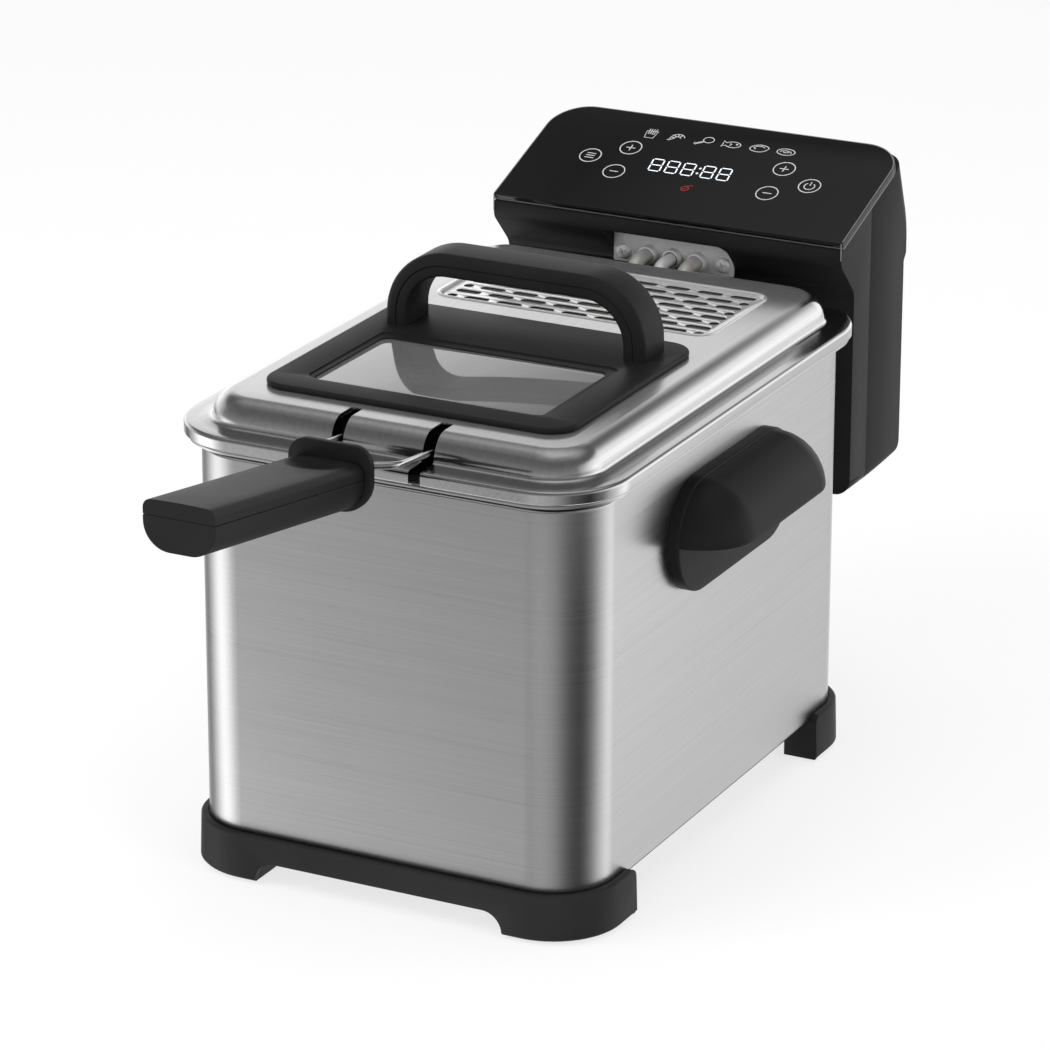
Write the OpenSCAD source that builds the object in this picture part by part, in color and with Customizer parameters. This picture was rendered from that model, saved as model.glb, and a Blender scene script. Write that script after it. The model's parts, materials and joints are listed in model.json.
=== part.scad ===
// Countertop deep fryer: steel casing on a plastic base, lift-out bowl, basket with a
// removable grip, pressed lid with window and filter, and a lift-off control head.
// Millimetres, +Z up, front at -Y, origin under the middle of the whole fryer.

/* [Casing] */
// Width of the steel casing
casing_w = 224; // [210:1:240]
// Depth of the steel casing
casing_d = 319; // [310:1:330]
// Corner radius of the steel casing, seen from above
casing_r = 32.5; // [30:0.5:40]
// Height of the casing's top edge above the table
casing_top = 221; // [215:1:221]
// Height of the casing's lower edge above the table
casing_foot = 23; // [22:1:26]
// Thickness of the casing sheet
sheet_t = 1; // [0.8:0.1:1.5]

/* [Base] */
// How far the corner skirts stand out from the casing
skirt_out = 4.3; // [3:0.1:6]
// Height of the skirts' top edge
skirt_top = 26; // [25:0.5:32]
// Height of the raised edge between two feet
arch_top = 13; // [8:1:16]
// Half the gap between the front feet
arch_half = 69.8; // [50:0.1:76]
// Half the gap between a front and a rear foot, along the side
side_gap_half = 109; // [95:1:115]
// Diameter of a rubber foot
pad_d = 18; // [12:1:20]

/* [Bowl] */
// Gap between the casing's outside and the bowl's outside
bowl_inset = 5.5; // [5:0.1:8]
// Height of the bowl's underside
bowl_floor = 60; // [55:1:66]
// How far the rolled rim stands out from the casing
rim_out = 6.5; // [5:0.1:7]
// Radius between the bowl's wall and floor
bowl_fillet = 14; // [8:1:18]

/* [Lid] */
// How far the lid's flange stands out from the casing
lid_out = 8.4; // [7.5:0.1:9]
// Height of the flange's top
flange_top = 236.9; // [236:0.1:237.5]
// Height where the lid's shoulder starts
shoulder_low = 238.7; // [238:0.1:239]
// Height of the lid's flat top
lid_top = 250.8; // [249:0.1:252]
// Radius of the lid's shoulder
shoulder_r = 13; // [11:0.5:15]
// Distance of a basket wire from the middle
wire_x = 25; // [20:1:30]
// Width of a wire slot in the lid
slot_w = 6.5; // [5.5:0.1:8]

/* [Window] */
// Width of the window frame
frame_w = 170.8; // [160:0.2:172]
// Front edge of the window frame
frame_front = -127.8; // [-132:0.1:-118]
// Rear edge of the window frame
frame_rear = 22.2; // [20:0.1:34]
// Thickness of the window frame
frame_t = 3.2; // [2.8:0.1:4.5]
// Width of the window opening
window_w = 127; // [120:1:140]
// Front edge of the window opening
window_front = -111; // [-114:0.5:-94]
// Rear edge of the window opening
window_rear = -35.5; // [-36:0.5:-28]
// Width of the step on each side of the window opening
side_step = 3.5; // [2:0.1:5]
// Width of the step behind the window opening
rear_step = 6.5; // [4:0.1:8]

/* [Lid handle] */
// Half the distance between the legs' inner faces
grip_gap_half = 61.2; // [56:0.1:64]
// Radius of the bend, inside
bend_r = 22.3; // [16:0.1:26]
// Height of the strap's underside
strap_low = 282.6; // [275:0.1:288]
// Thickness of the strap
strap_t = 12.1; // [10:0.1:14]
// Width of the strap, front to back
strap_w = 26.4; // [22:0.1:30]
// Thickness of the strap's inner cap
strap_cap = 5.8; // [4:0.1:8]

/* [Filter] */
// Width of the filter cover
vent_w = 157; // [140:1:160]
// Front edge of the filter cover
vent_front = 46.2; // [40:0.1:50]
// Rear edge of the filter cover
vent_rear = 123.3; // [118:0.1:134]
// Distance between neighbouring slots in a row
slot_pitch = 18.9; // [16:0.1:22]
// Distance between neighbouring rows
row_pitch = 9.2; // [8:0.1:11]

/* [Control head] */
// Width of the control head
head_w = 205; // [200:1:210]
// Front edge of the glass panel
panel_front = 159.75; // [159.75:0.05:160]
// Height of the glass panel's front edge
panel_low = 272.35; // [270:0.05:275]
// Length of the glass panel up its slope
panel_len = 89.7; // [85:0.1:90]
// Slope of the glass panel in degrees
panel_tilt = 19.9; // [18:0.1:21]
// Corner radius at the panel's rear
panel_r = 22; // [15:1:26]
// Corner radius of the head's body round the panel
head_r = 14; // [8:1:20]
// Front wall of the head below its lip
head_front = 178.2; // [178:0.1:179]
// Rear wall of the head
head_rear = 245; // [243:0.5:245]
// Height of the head's underside at the front
head_low = 126; // [120:1:132]
// Wall thickness of the head's shells
shell_t = 2.5; // [2:0.1:3]

/* [Heating element] */
// Diameter of the heating tube
tube_d = 8; // [7:0.5:8.5]
// Distance between neighbouring legs of the heating tube
leg_pitch = 32; // [30:1:32]
// Height of the heating tube's middle
tube_z = 78; // [76:1:80]
// Distance of a riser from the middle
riser_x = 14.5; // [12:0.5:15]

/* [Basket] */
// Width of the basket
basket_w = 184; // [170:1:190]
// Front wall of the basket
basket_front = -136; // [-138:1:-130]
// Rear wall of the basket
basket_rear = 130; // [120:1:134]
// Height of the basket's rim
basket_rim = 212; // [190:1:218]
// Diameter of a mesh wire
mesh_d = 2.4; // [2:0.1:3]
// Diameter of the rim wire
rim_d = 5; // [4:0.5:6]
// Diameter of a handle wire
wire_d = 4; // [3:0.5:4.5]

/* [Basket grip] */
// Front face of the grip
grip_tip = -343.6; // [-350:0.1:-330]
// Root of the grip, at its collar
grip_root = -206; // [-210:1:-202]
// Rise of the grip in degrees
grip_rise = 8.9; // [7:0.1:10]
// Width of the grip
grip_w = 38; // [32:0.1:40]
// Height of the grip's section
grip_h = 24.4; // [22:0.1:28]
// Height of the grip's middle at its tip
grip_tip_z = 260.9; // [258:0.1:263]

/* [Side handles] */
// Radius of a side handle's back plate
plate_r = 29.9; // [28:0.1:31]
// Half the distance between the plate's two end circles
plate_half = 38.4; // [30:0.1:42]
// Height of a side handle's middle
side_z = 180; // [178:0.5:184]
// Thickness of a back plate
plate_t = 6.6; // [4:0.1:8]
// Radius of a finger hood
hood_r = 29.1; // [26:0.1:29.5]
// Wall thickness of a finger hood
hood_t = 3; // [2.5:0.1:4]

/* [Hidden] */
$fn = 64;

steel = "silver";
dark_steel = "darkgray";
black_plastic = "#2b2c2e";
grey_plastic = "#3a3b3d";
gloss_black = "#101114";
smoked_glass = "#8d9092";

half_w = casing_w / 2;
half_d = casing_d / 2;
head_back = head_rear + 3;
// The casing's middle lies behind the origin, because the grip reaches far forward.
casing_y = -(grip_tip + head_back) / 2;

rim_top = 229.8;
arch_r = 11;
pad_x = 97;
pad_y = 142;
post_d = 12;
bowl_t = 1;
lid_t = 1;
glass_t = 1.2;
seal_t = 0.5;
trim_t = 1.2;
panel_t = 3;
lid_shift = -0.6;
strap_y = -3.9;
lid_back = 158.5;
slot_rear = -133.5;
notch_w = 48;
notch_front = 142.4;
vent_sink = 2.2;
tray_low = 238.5;
mat_floor = 1.5;
shoulder_drop = lid_top - shoulder_r;
shoulder_c = 4.3 + sqrt(pow(shoulder_r, 2) - pow(shoulder_low - shoulder_drop, 2));
seam_y = 199;
gland_z = 150;
pocket_half = 35.8;
pocket_y = 172.5;
bracket_y = 171;
riser_y = 148.3;
riser_r = 12;
arm_z = 247.3;
rail_top = 215;
rail_w = 34;
rail_y = 168;
slide = 0.5;
collar_t = 3.5;
collar_low = 225.7;
collar_top = 259.7;
grip_run = (grip_root - grip_tip) / cos(grip_rise);
basket_low = 84;
basket_r = 10;
basket_d = basket_rear - basket_front;

// ---- shared shapes ----

module in_frame() translate([0, casing_y, 0]) children();

module rounded(w, d, r) {
  square([w, d - 2 * r], center = true);
  square([w - 2 * r, d], center = true);
  for (x = [-1, 1])
    for (y = [-1, 1])
      translate([x * (w / 2 - r), y * (d / 2 - r)]) circle(r);
}

module ring(w, d, r, t) difference() {
  rounded(w, d, r);
  rounded(w - 2 * t, d - 2 * t, r - t);
}

// Sweeps a profile round a rounded rectangle: x = 0 is its edge, +x points outward, y is up.
module rim_sweep(w, d, r) {
  for (i = [0:3]) {
    side = i % 2;
    reach = side == 0 ? w / 2 : d / 2;
    run = side == 0 ? d - 2 * r : w - 2 * r;
    rotate([0, 0, 90 * i]) {
      translate([reach, 0, 0]) rotate([90, 0, 0]) linear_extrude(run, center = true) children();
      translate([reach - r, run / 2, 0]) rotate_extrude(angle = 90) translate([r, 0]) children();
    }
  }
}

// A slab whose top edge is rounded by e.
module soft_slab(w, d, r, h, e) {
  linear_extrude(h - e) rounded(w, d, r);
  linear_extrude(h) rounded(w - 2 * e, d - 2 * e, r - e);
  translate([0, 0, h - e]) rim_sweep(w, d, r) translate([-e, 0]) intersection() {
    circle(e);
    square(e);
  }
}

module stadium(half, r) {
  square([2 * half, 2 * r], center = true);
  for (x = [-1, 1]) translate([x * half, 0]) circle(r);
}

function arc(c, r, a, b, n) = [for (i = [0:n]) c + r * [cos(a + (b - a) * i / n), sin(a + (b - a) * i / n)]];

// A straight octagonal wire from a to b, along x or y, d across its flats.
module bar(a, b, d) {
  v = b - a;
  translate(a) rotate([0, 90, v[1] != 0 ? 90 : 0])
    rotate([0, 0, 22.5]) cylinder(h = norm(v), d = d / cos(22.5), $fn = 8);
}

// ---- casing and base ----

module outer_casing() color(steel) in_frame() {
  fold = 6;
  shelf = 4.8;
  wall_h = casing_top - casing_foot;
  translate([0, 0, casing_foot]) linear_extrude(wall_h) ring(casing_w, casing_d, casing_r, sheet_t);
  translate([0, 0, casing_foot]) linear_extrude(sheet_t) ring(casing_w, casing_d, casing_r, fold);
  translate([0, 0, casing_top - sheet_t]) linear_extrude(sheet_t) ring(casing_w, casing_d, casing_r, shelf);
}

module skirt_profile() polygon([
  [0, casing_foot], [0, skirt_top - 1], [0.9, skirt_top - 1], [0.9, skirt_top], [skirt_out - 0.9, skirt_top],
  [skirt_out, skirt_top - 0.9], [skirt_out + 0.7, 3], [skirt_out - 0.2, 2], [1.5, 2], [0.5, casing_foot - 3],
  [-3.2, casing_foot - 3], [-3.2, casing_foot]]);

module foot_gaps() {
  reach = casing_d + 40;
  round_end = 5;
  cut_w = 40;
  rotate([90, 0, 0]) linear_extrude(reach, center = true) rounded(2 * arch_half, 2 * arch_top, arch_r);
  for (s = [-1, 1]) translate([s * (half_w - 3.2 + cut_w / 2), 0, 0])
    rotate([90, 0, 90]) linear_extrude(cut_w, center = true) {
    translate([-side_gap_half, -1]) square([2 * side_gap_half, skirt_top + 3]);
    for (m = [-1, 1]) difference() {
      translate([m * (side_gap_half + round_end / 2), skirt_top - round_end / 2 + 0.5])
        square([round_end + 0.2, round_end + 1], center = true);
      translate([m * (side_gap_half + round_end), skirt_top - round_end]) circle(round_end);
    }
  }
}

module base_frame() color(grey_plastic) in_frame() {
  floor_t = 3;
  rib_t = 2.5;
  rib_h = casing_foot - floor_t - 1;
  rib_z = 1.5 + rib_h / 2;
  inner_w = casing_w - 6.4;
  inner_d = casing_d - 6.4;
  difference() {
    union() {
      translate([0, 0, casing_foot - floor_t]) linear_extrude(floor_t)
        rounded(inner_w, inner_d, casing_r - 3.2);
      rim_sweep(casing_w, casing_d, casing_r) skirt_profile();
    }
    foot_gaps();
    translate([0, 0, casing_foot - floor_t - 1]) linear_extrude(floor_t + 2) rounded(124, 204, 10);
  }
  for (x = [-1, 1]) for (y = [-1, 1]) {
    translate([x * pad_x, y * pad_y, 3]) cylinder(h = casing_foot - 4, d = post_d);
    translate([x * (half_w - 5), y * (side_gap_half + rib_t / 2), rib_z])
      cube([18, rib_t, rib_h], center = true);
    translate([x * (arch_half + rib_t / 2), y * (half_d - 7), rib_z])
      cube([rib_t, 20, rib_h], center = true);
  }
}

module bottom_plate() color(dark_steel) in_frame() difference() {
  plate_h = 1.2;
  translate([0, 0, casing_foot - 3 - plate_h]) linear_extrude(plate_h) rounded(140, 220, 14);
  translate([0, 0, casing_foot - 5]) linear_extrude(4)
    for (x = [-3:3]) for (y = [-1, 1]) translate([x * 14, y * 50]) square([5, 60], center = true);
}

module rubber_feet() color("#1b1b1c") in_frame()
  for (x = [-1, 1]) for (y = [-1, 1]) translate([x * pad_x, y * pad_y, 0]) difference() {
    cylinder(h = 7, d = pad_d);
    translate([0, 0, 3]) cylinder(h = 5, d = post_d);
  }

module rim_ring() color(black_plastic) in_frame()
  translate([0, 0, casing_top]) linear_extrude(rim_top - 1.1 - casing_top)
    ring(casing_w - 3.6, casing_d - 3.6, casing_r - 1.8, 2.8);

module side_handle() translate([half_w, lid_shift - 0.4, side_z]) {
  rotate([90, 0, 90]) linear_extrude(plate_t) stadium(plate_half, plate_r);
  translate([plate_t, 0, 0]) difference() {
    intersection() {
      capsule(hood_r);
      translate([-0.1, -100, 0]) cube([60, 200, 60]);
    }
    capsule(hood_r - hood_t);
  }
}

module capsule(r) {
  rotate([90, 0, 0]) cylinder(h = 2 * plate_half, r = r, center = true);
  for (y = [-1, 1]) translate([0, y * plate_half, 0]) sphere(r);
}

module side_handle_right() color(black_plastic) in_frame() side_handle();
module side_handle_left() color(black_plastic) in_frame() mirror([1, 0, 0]) side_handle();

// A dovetail on the rear of the casing: the head slides down over it and rests on its top.
module head_rail() color(black_plastic) in_frame() difference() {
  low = 70;
  rear = head_front - 0.3;
  translate([0, 0, low]) linear_extrude(rail_top - low)
    polygon([[-rail_w, half_d], [rail_w, half_d], [rail_w, rail_y],
      [rail_w + 6, rear], [-rail_w - 6, rear], [-rail_w, rail_y]]);
  for (x = [-1, 0, 1]) translate([x * 20, rear, (low + rail_top) / 2])
    cube([12, 16, rail_top - low - 25], center = true);
}

// ---- bowl ----

module bowl() color(steel) in_frame() {
  wall_x = -bowl_inset;
  foot_x = wall_x - bowl_fillet;
  fillet_z = bowl_floor + bowl_fillet;
  rim_sweep(casing_w, casing_d, casing_r) {
    translate([wall_x - bowl_t, fillet_z]) square([bowl_t, rim_top - fillet_z]);
    translate([foot_x, fillet_z]) difference() {
      circle(bowl_fillet);
      circle(bowl_fillet - bowl_t);
      translate([-30, -30]) square([30, 60]);
      translate([-30, 0]) square([60, 30]);
    }
    translate([wall_x - bowl_t, rim_top - 1.1]) square([rim_out - 1.5 - wall_x + bowl_t, 1.1]);
    translate([rim_out - 1.5, rim_top - 1.5]) intersection() {
      circle(1.5);
      square(2);
    }
    translate([rim_out - 1, rim_top - 5]) square([1, 3.6]);
  }
  translate([0, 0, bowl_floor]) linear_extrude(bowl_t)
    rounded(casing_w + 2 * foot_x, casing_d + 2 * foot_x, casing_r + foot_x);
}

// ---- control head ----

module along_panel() translate([0, panel_front, panel_low]) rotate([panel_tilt, 0, 0]) children();

// An outline of width w seen along the panel: square at its front edge, round at the rear.
module panel_outline(w, front, rear, r) {
  long = 500;
  intersection() {
    translate([0, rear - long / 2]) rounded(w, long, r);
    translate([-w / 2, front]) square([w, long]);
  }
}

// The glass panel's own outline, made smaller all round by inset.
module glass_outline(inset)
  panel_outline(head_w + 0.8 - 2 * inset, inset, panel_len - inset, panel_r - inset);

module head_side(inset) polygon(concat(
  [[160 + inset, 320]],
  arc([166.4, 262.4], 6.4 - inset, 180, 222.5, 4),
  arc([head_front - 10, 236.7], 10 + inset, 42.5, 0, 5),
  [[head_front + inset, head_low + inset]],
  arc([head_rear - 6, head_low + 12.6], 6 - inset, -84, 0, 5),
  [[head_rear - inset, 240], [head_back - inset, 244], [head_back - inset, 320]]));

// The head's body, made smaller all round by inset, under a top that lies depth below the glass.
module head_body(inset, depth) {
  w = head_w - 2 * inset;
  tall = 260;
  foot_r = 9;
  intersection() {
    rotate([90, 0, 90]) linear_extrude(w, center = true) head_side(inset);
    along_panel() translate([0, 0, -tall]) linear_extrude(tall - depth)
      panel_outline(w, -tall, panel_len - inset, head_r - inset);
    translate([0, tall, head_low + inset + tall / 2]) rotate([90, 0, 0]) linear_extrude(tall)
      rounded(w, tall, foot_r - inset);
  }
}

module head_shell() difference() {
  head_body(0, panel_t + trim_t);
  head_body(shell_t, -2);
}

// The recess that takes the element's bracket, made larger all round by grow.
module pocket(grow, low, high) translate([-pocket_half - grow, 0, low - grow])
  cube([2 * (pocket_half + grow), pocket_y + grow, high - low + 2 * grow]);

module head_front_shell() color(black_plastic) in_frame() {
  pocket_low = 235;
  pocket_top = 260.6;
  difference() {
    union() {
      intersection() {
        head_shell();
        translate([-head_w, 0, 0]) cube([2 * head_w, seam_y, 400]);
      }
      intersection() {
        head_body(0, panel_t + trim_t);
        pocket(shell_t, pocket_low, pocket_top);
      }
    }
    pocket(0, pocket_low, pocket_top);
  }
  // Cheeks that slide down the dovetail, and the ledge that rests on it.
  cheek_w = 48;
  cheek_low = head_low + 4;
  cheek_y = rail_y - 1;
  ledge_t = 5;
  for (s = [0, 1]) mirror([s, 0, 0]) translate([0, 0, cheek_low])
    linear_extrude(rail_top + ledge_t - cheek_low)
      polygon([[rail_w + slide, cheek_y], [rail_w + slide, rail_y], [rail_w + 6 + slide, head_front],
        [cheek_w, head_front], [cheek_w, cheek_y]]);
  translate([-cheek_w, cheek_y, rail_top]) cube([2 * cheek_w, head_front - cheek_y, ledge_t]);
}

module head_rear_shell() color(black_plastic) in_frame() difference() {
  intersection() {
    head_shell();
    translate([-head_w, seam_y, 0]) cube([2 * head_w, 100, 400]);
  }
  slots = 6;
  slot_gap = 9;
  for (i = [0:slots - 1]) translate([0, head_rear, gland_z + 20 + i * slot_gap])
    cube([70, 12, 3.2], center = true);
  translate([0, head_rear - 10, gland_z]) rotate([-90, 0, 0]) cylinder(h = 20, d = 12);
}

module touch_panel() color(gloss_black) in_frame()
  along_panel() translate([0, 0, -panel_t]) linear_extrude(panel_t) glass_outline(0);

module panel_trim() color("gray") in_frame()
  along_panel() translate([0, 0, -panel_t - trim_t]) linear_extrude(trim_t) difference() {
    glass_outline(-0.2);
    glass_outline(5);
  }

module element_bracket() color(steel) in_frame() {
  low = 241.4;
  high = 257;
  w = 2 * pocket_half - 0.6;
  corner_r = 11;
  rotate([90, 0, 0]) translate([0, 0, -pocket_y]) linear_extrude(pocket_y - bracket_y) intersection() {
    translate([-w / 2, low]) square([w, high - low]);
    translate([w / 2 - 100, high - 100]) rounded(200, 200, corner_r);
  }
}

module bracket_screws() color(dark_steel) in_frame()
  for (s = [-1, 1]) translate([s * 29.5, bracket_y, arm_z]) rotate([90, 0, 0]) intersection() {
    cylinder(h = 2.6, d = 8);
    translate([0, 0, -2.4]) sphere(5);
  }

module tube_collars() color(dark_steel) in_frame() for (x = [-riser_x, 0, riser_x])
  translate([x, bracket_y, arm_z]) rotate([90, 0, 0]) difference() {
    cylinder(h = 4, d = 11);
    translate([0, 0, -1]) cylinder(h = 6, d = tube_d);
  }

// A round tube along the local x axis, from the origin.
module rod(len, d) rotate([0, 90, 0]) cylinder(h = len, d = d);

// A bend in the xy plane round the origin, from angle a through 90 or 180 degrees.
module bend(r, d, a, sweep) rotate([0, 0, a]) rotate_extrude(angle = sweep) translate([r, 0]) circle(d = d);

module element_half() {
  turn = leg_pitch / 2;
  outer_x = 2.5 * leg_pitch;
  front_y = -99;
  back_y = 84;
  // From the bracket forward, down into the bowl and outward.
  translate([riser_x, riser_y + riser_r, arm_z]) rotate([-90, 0, 0])
    cylinder(h = bracket_y - riser_y - riser_r, d = tube_d);
  translate([riser_x, riser_y + riser_r, arm_z - riser_r]) rotate([90, 0, 90]) bend(riser_r, tube_d, 90, 90);
  translate([riser_x, riser_y, tube_z + turn]) cylinder(h = arm_z - riser_r - tube_z - turn, d = tube_d);
  translate([riser_x + turn, riser_y, tube_z + turn]) rotate([90, 0, 0]) bend(turn, tube_d, 180, 90);
  translate([riser_x + turn, riser_y, tube_z]) rod(outer_x - riser_x - 2 * turn, tube_d);
  translate([outer_x - turn, riser_y - turn, tube_z]) bend(turn, tube_d, 0, 90);
  // Three legs and the turns between them.
  translate([outer_x, riser_y - turn, tube_z]) rotate([0, 0, -90]) rod(riser_y - turn - front_y, tube_d);
  for (x = [outer_x - leg_pitch, turn]) translate([x, back_y, tube_z]) rotate([0, 0, -90])
    rod(back_y - front_y, tube_d);
  translate([outer_x - turn, front_y, tube_z]) bend(turn, tube_d, 180, 180);
  translate([leg_pitch, back_y, tube_z]) bend(turn, tube_d, 0, 180);
  translate([0, front_y, tube_z]) bend(turn, tube_d, 270, 90);
}

module heating_element() color("#77716a") in_frame() {
  element_half();
  mirror([1, 0, 0]) element_half();
}

module thermostat_probe() color(steel) in_frame() {
  probe_d = 7;
  probe_z = tube_z;
  bulb_y = 70;
  translate([0, riser_y + riser_r, arm_z]) rotate([-90, 0, 0])
    cylinder(h = bracket_y - riser_y - riser_r, d = probe_d);
  translate([0, riser_y + riser_r, arm_z - riser_r]) rotate([90, 0, 90]) bend(riser_r, probe_d, 90, 90);
  translate([0, riser_y, probe_z + riser_r]) cylinder(h = arm_z - 2 * riser_r - probe_z, d = probe_d);
  translate([0, riser_y - riser_r, probe_z + riser_r]) rotate([90, 0, 90]) bend(riser_r, probe_d, 270, 90);
  translate([0, riser_y - riser_r, probe_z]) rotate([90, 0, 0])
    cylinder(h = riser_y - riser_r - bulb_y, d = probe_d);
}

module element_clips() color(dark_steel) in_frame() {
  clip_t = 2;
  clip_w = 12;
  span = 5 * leg_pitch + tube_d;
  for (y = [-70, 60]) {
    translate([0, y, tube_z + tube_d / 2 + clip_t / 2])
      cube([span + 2 * clip_t, clip_w, clip_t], center = true);
    for (s = [-1, 1]) translate([s * (span + clip_t) / 2, y, tube_z])
      cube([clip_t, clip_w, tube_d + clip_t], center = true);
  }
}

module control_board() color("darkgreen") in_frame()
  along_panel() translate([-80, 16, -panel_t - 9]) cube([160, 50, 1.6]);

module display_module() color("#30343a") in_frame()
  along_panel() translate([-34, 30, -panel_t - 7.4]) cube([68, 26, 7.4]);

module interlock_switch() color("#8a1f1a") in_frame()
  translate([-10, head_front + shell_t, head_low + 30]) cube([20, 8, 12]);

module cord_gland() color(black_plastic) in_frame()
  translate([0, head_rear, gland_z]) rotate([-90, 0, 0]) difference() {
    cylinder(h = head_back - head_rear, d = 18);
    translate([0, 0, -1]) cylinder(h = 5, d = 8);
  }

// ---- basket ----

// A flat, centred grille of crossing wires: u gaps between the wires along y, v between those along x.
module grille(w, h, u, v) {
  lap = 0.6;
  margin = 4;
  for (i = [0:u]) translate([(w / 2 - margin) * (2 * i / u - 1), 0, 0])
    bar([0, -h / 2, 0], [0, h / 2, 0], mesh_d);
  for (j = [0:v]) translate([0, (h / 2 - margin) * (2 * j / v - 1), mesh_d - lap])
    bar([-w / 2, 0, 0], [w / 2, 0, 0], mesh_d);
}

module in_basket() in_frame() translate([0, (basket_front + basket_rear) / 2, 0]) children();

module basket_floor() color(steel) in_basket() translate([0, 0, basket_low + mesh_d / 2])
  grille(basket_w - mesh_d, basket_d - mesh_d, 10, 13);

// A wall stands along x at the distance reach from the basket's middle, its long wires outside.
module basket_wall(reach, w, wires) translate([0, -reach, (basket_low + basket_rim) / 2]) rotate([90, 0, 0])
  grille(w - 2 * basket_r, basket_rim - basket_low - rim_d, wires, 5);

module basket_front_wall() color(steel) in_basket() basket_wall(basket_d / 2, basket_w, 10);
module basket_rear_wall() color(steel) in_basket() mirror([0, 1, 0]) basket_wall(basket_d / 2, basket_w, 10);
module basket_right_wall() color(steel) in_basket()
  rotate([0, 0, 90]) basket_wall(basket_w / 2, basket_d, 13);
module basket_left_wall() color(steel) in_basket()
  rotate([0, 0, -90]) basket_wall(basket_w / 2, basket_d, 13);

module basket_rim_wire() color(steel) in_basket() translate([0, 0, basket_rim])
  rim_sweep(basket_w, basket_d, basket_r) circle(d = rim_d);

// The middle line of the right handle wire, as round numbers.
wire_line = [[wire_x, -141, 150], [wire_x, -141, 233], [wire_x, -146, 240.5], [wire_x, -185, 245.4],
  [12, -198, 247], [12, -224, 251.1]];

// Cuts each inner corner of a line with a short curve of k steps.
function softened(p, cut, k) = concat([p[0]],
  [for (i = [1:len(p) - 2]) let (
      a = p[i] + cut * (p[i - 1] - p[i]) / norm(p[i - 1] - p[i]),
      b = p[i] + cut * (p[i + 1] - p[i]) / norm(p[i + 1] - p[i]))
    for (t = [0:k]) let (s = t / k) (1 - s) * (1 - s) * a + 2 * s * (1 - s) * p[i] + s * s * b],
  [p[len(p) - 1]]);

// A round wire swept along a line that never runs along x.
module wire(line, d) {
  sides = 10;
  n = len(line);
  rings = [for (i = [0:n - 1]) let (
      ahead = line[min(i + 1, n - 1)] - line[max(i - 1, 0)],
      t = ahead / norm(ahead),
      u0 = cross([0, -t[2], t[1]], t),
      u = u0 / norm(u0),
      v = cross(t, u))
    for (k = [0:sides - 1]) line[i] + d / 2 * (cos(360 * k / sides) * u + sin(360 * k / sides) * v)];
  ends = [[for (k = [0:sides - 1]) k], [for (k = [sides - 1:-1:0]) (n - 1) * sides + k]];
  walls = [for (i = [0:n - 2]) for (k = [0:sides - 1]) let (m = (k + 1) % sides)
    [i * sides + k, (i + 1) * sides + k, (i + 1) * sides + m, i * sides + m]];
  polyhedron(points = rings, faces = concat(ends, walls));
}

module handle_wires() color(steel) in_frame() {
  wire(softened(wire_line, 4, 4), wire_d);
  mirror([1, 0, 0]) wire(softened(wire_line, 4, 4), wire_d);
}

// Local z runs along the grip from its root to its tip, local y is up.
module along_grip() translate([0, grip_tip, grip_tip_z]) rotate([90 - grip_rise, 0, 0])
  translate([0, 0, -grip_run]) children();

module grip_section() {
  top_r = 4.5;
  low_r = 13.5;
  tall = 100;
  intersection() {
    translate([0, (tall - grip_h) / 2]) rounded(grip_w, tall, low_r);
    translate([0, (grip_h - tall) / 2]) rounded(grip_w, tall, top_r);
  }
}

module grip_body() {
  intersection() {
    along_grip() translate([0, 0, -10]) linear_extrude(grip_run + 20) grip_section();
    translate([-50, grip_tip, 150]) cube([100, grip_root - grip_tip, 200]);
  }
}

module wire_holes() for (s = [-1, 1]) translate([s * wire_line[5][0], wire_line[5][1], wire_line[5][2]])
  rotate([-90 - grip_rise, 0, 0]) cylinder(h = 28, d = wire_d + 0.1);

// The half space above (up = 1) or below (up = -1) the seam between the grip's shells.
module grip_seam(up) along_grip() translate([0, up * 50 + 4.2, 60]) cube([80, 100, 240], center = true);

module grip_upper() color(black_plastic) in_frame() difference() {
  intersection() {
    grip_body();
    grip_seam(1);
  }
  wire_holes();
  along_grip() translate([0, grip_h / 2 + 38, 22]) rotate([0, 90, 0]) cylinder(h = 24, r = 40, center = true);
}

module grip_lower() color(black_plastic) in_frame() difference() {
  intersection() {
    grip_body();
    grip_seam(-1);
  }
  wire_holes();
}

module grip_collar() color(black_plastic) in_frame() difference() {
  w = 45;
  tall = 100;
  translate([0, grip_root + collar_t, 0]) rotate([90, 0, 0]) linear_extrude(collar_t) intersection() {
    translate([0, collar_low + tall / 2]) rounded(w, tall, 17);
    translate([0, collar_top - tall / 2]) rounded(w, tall, 10);
  }
  wire_holes();
}

// ---- lid ----

module lid_outer() {
  edge = 1.9;
  translate([-shoulder_c, rim_top]) square([lid_out + shoulder_c - edge, flange_top - rim_top]);
  translate([-shoulder_c, rim_top]) square([lid_out + shoulder_c, flange_top - rim_top - edge]);
  translate([lid_out - edge, flange_top - edge]) circle(edge);
  translate([-shoulder_c, flange_top - 3]) intersection() {
    translate([0, shoulder_drop - flange_top + 3]) circle(shoulder_r);
    square([40, 40]);
  }
}

module lid_profile() {
  difference() {
    lid_outer();
    translate([-shoulder_c - 1, rim_top - 1])
      square([lid_out + shoulder_c + 1 - lid_t, flange_top - rim_top + 1 - lid_t]);
    translate([-shoulder_c, shoulder_drop]) circle(shoulder_r - lid_t);
  }
  // The hem that rests on the bowl's rim.
  translate([3, rim_top]) square([lid_out - 3, 1]);
}

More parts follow.
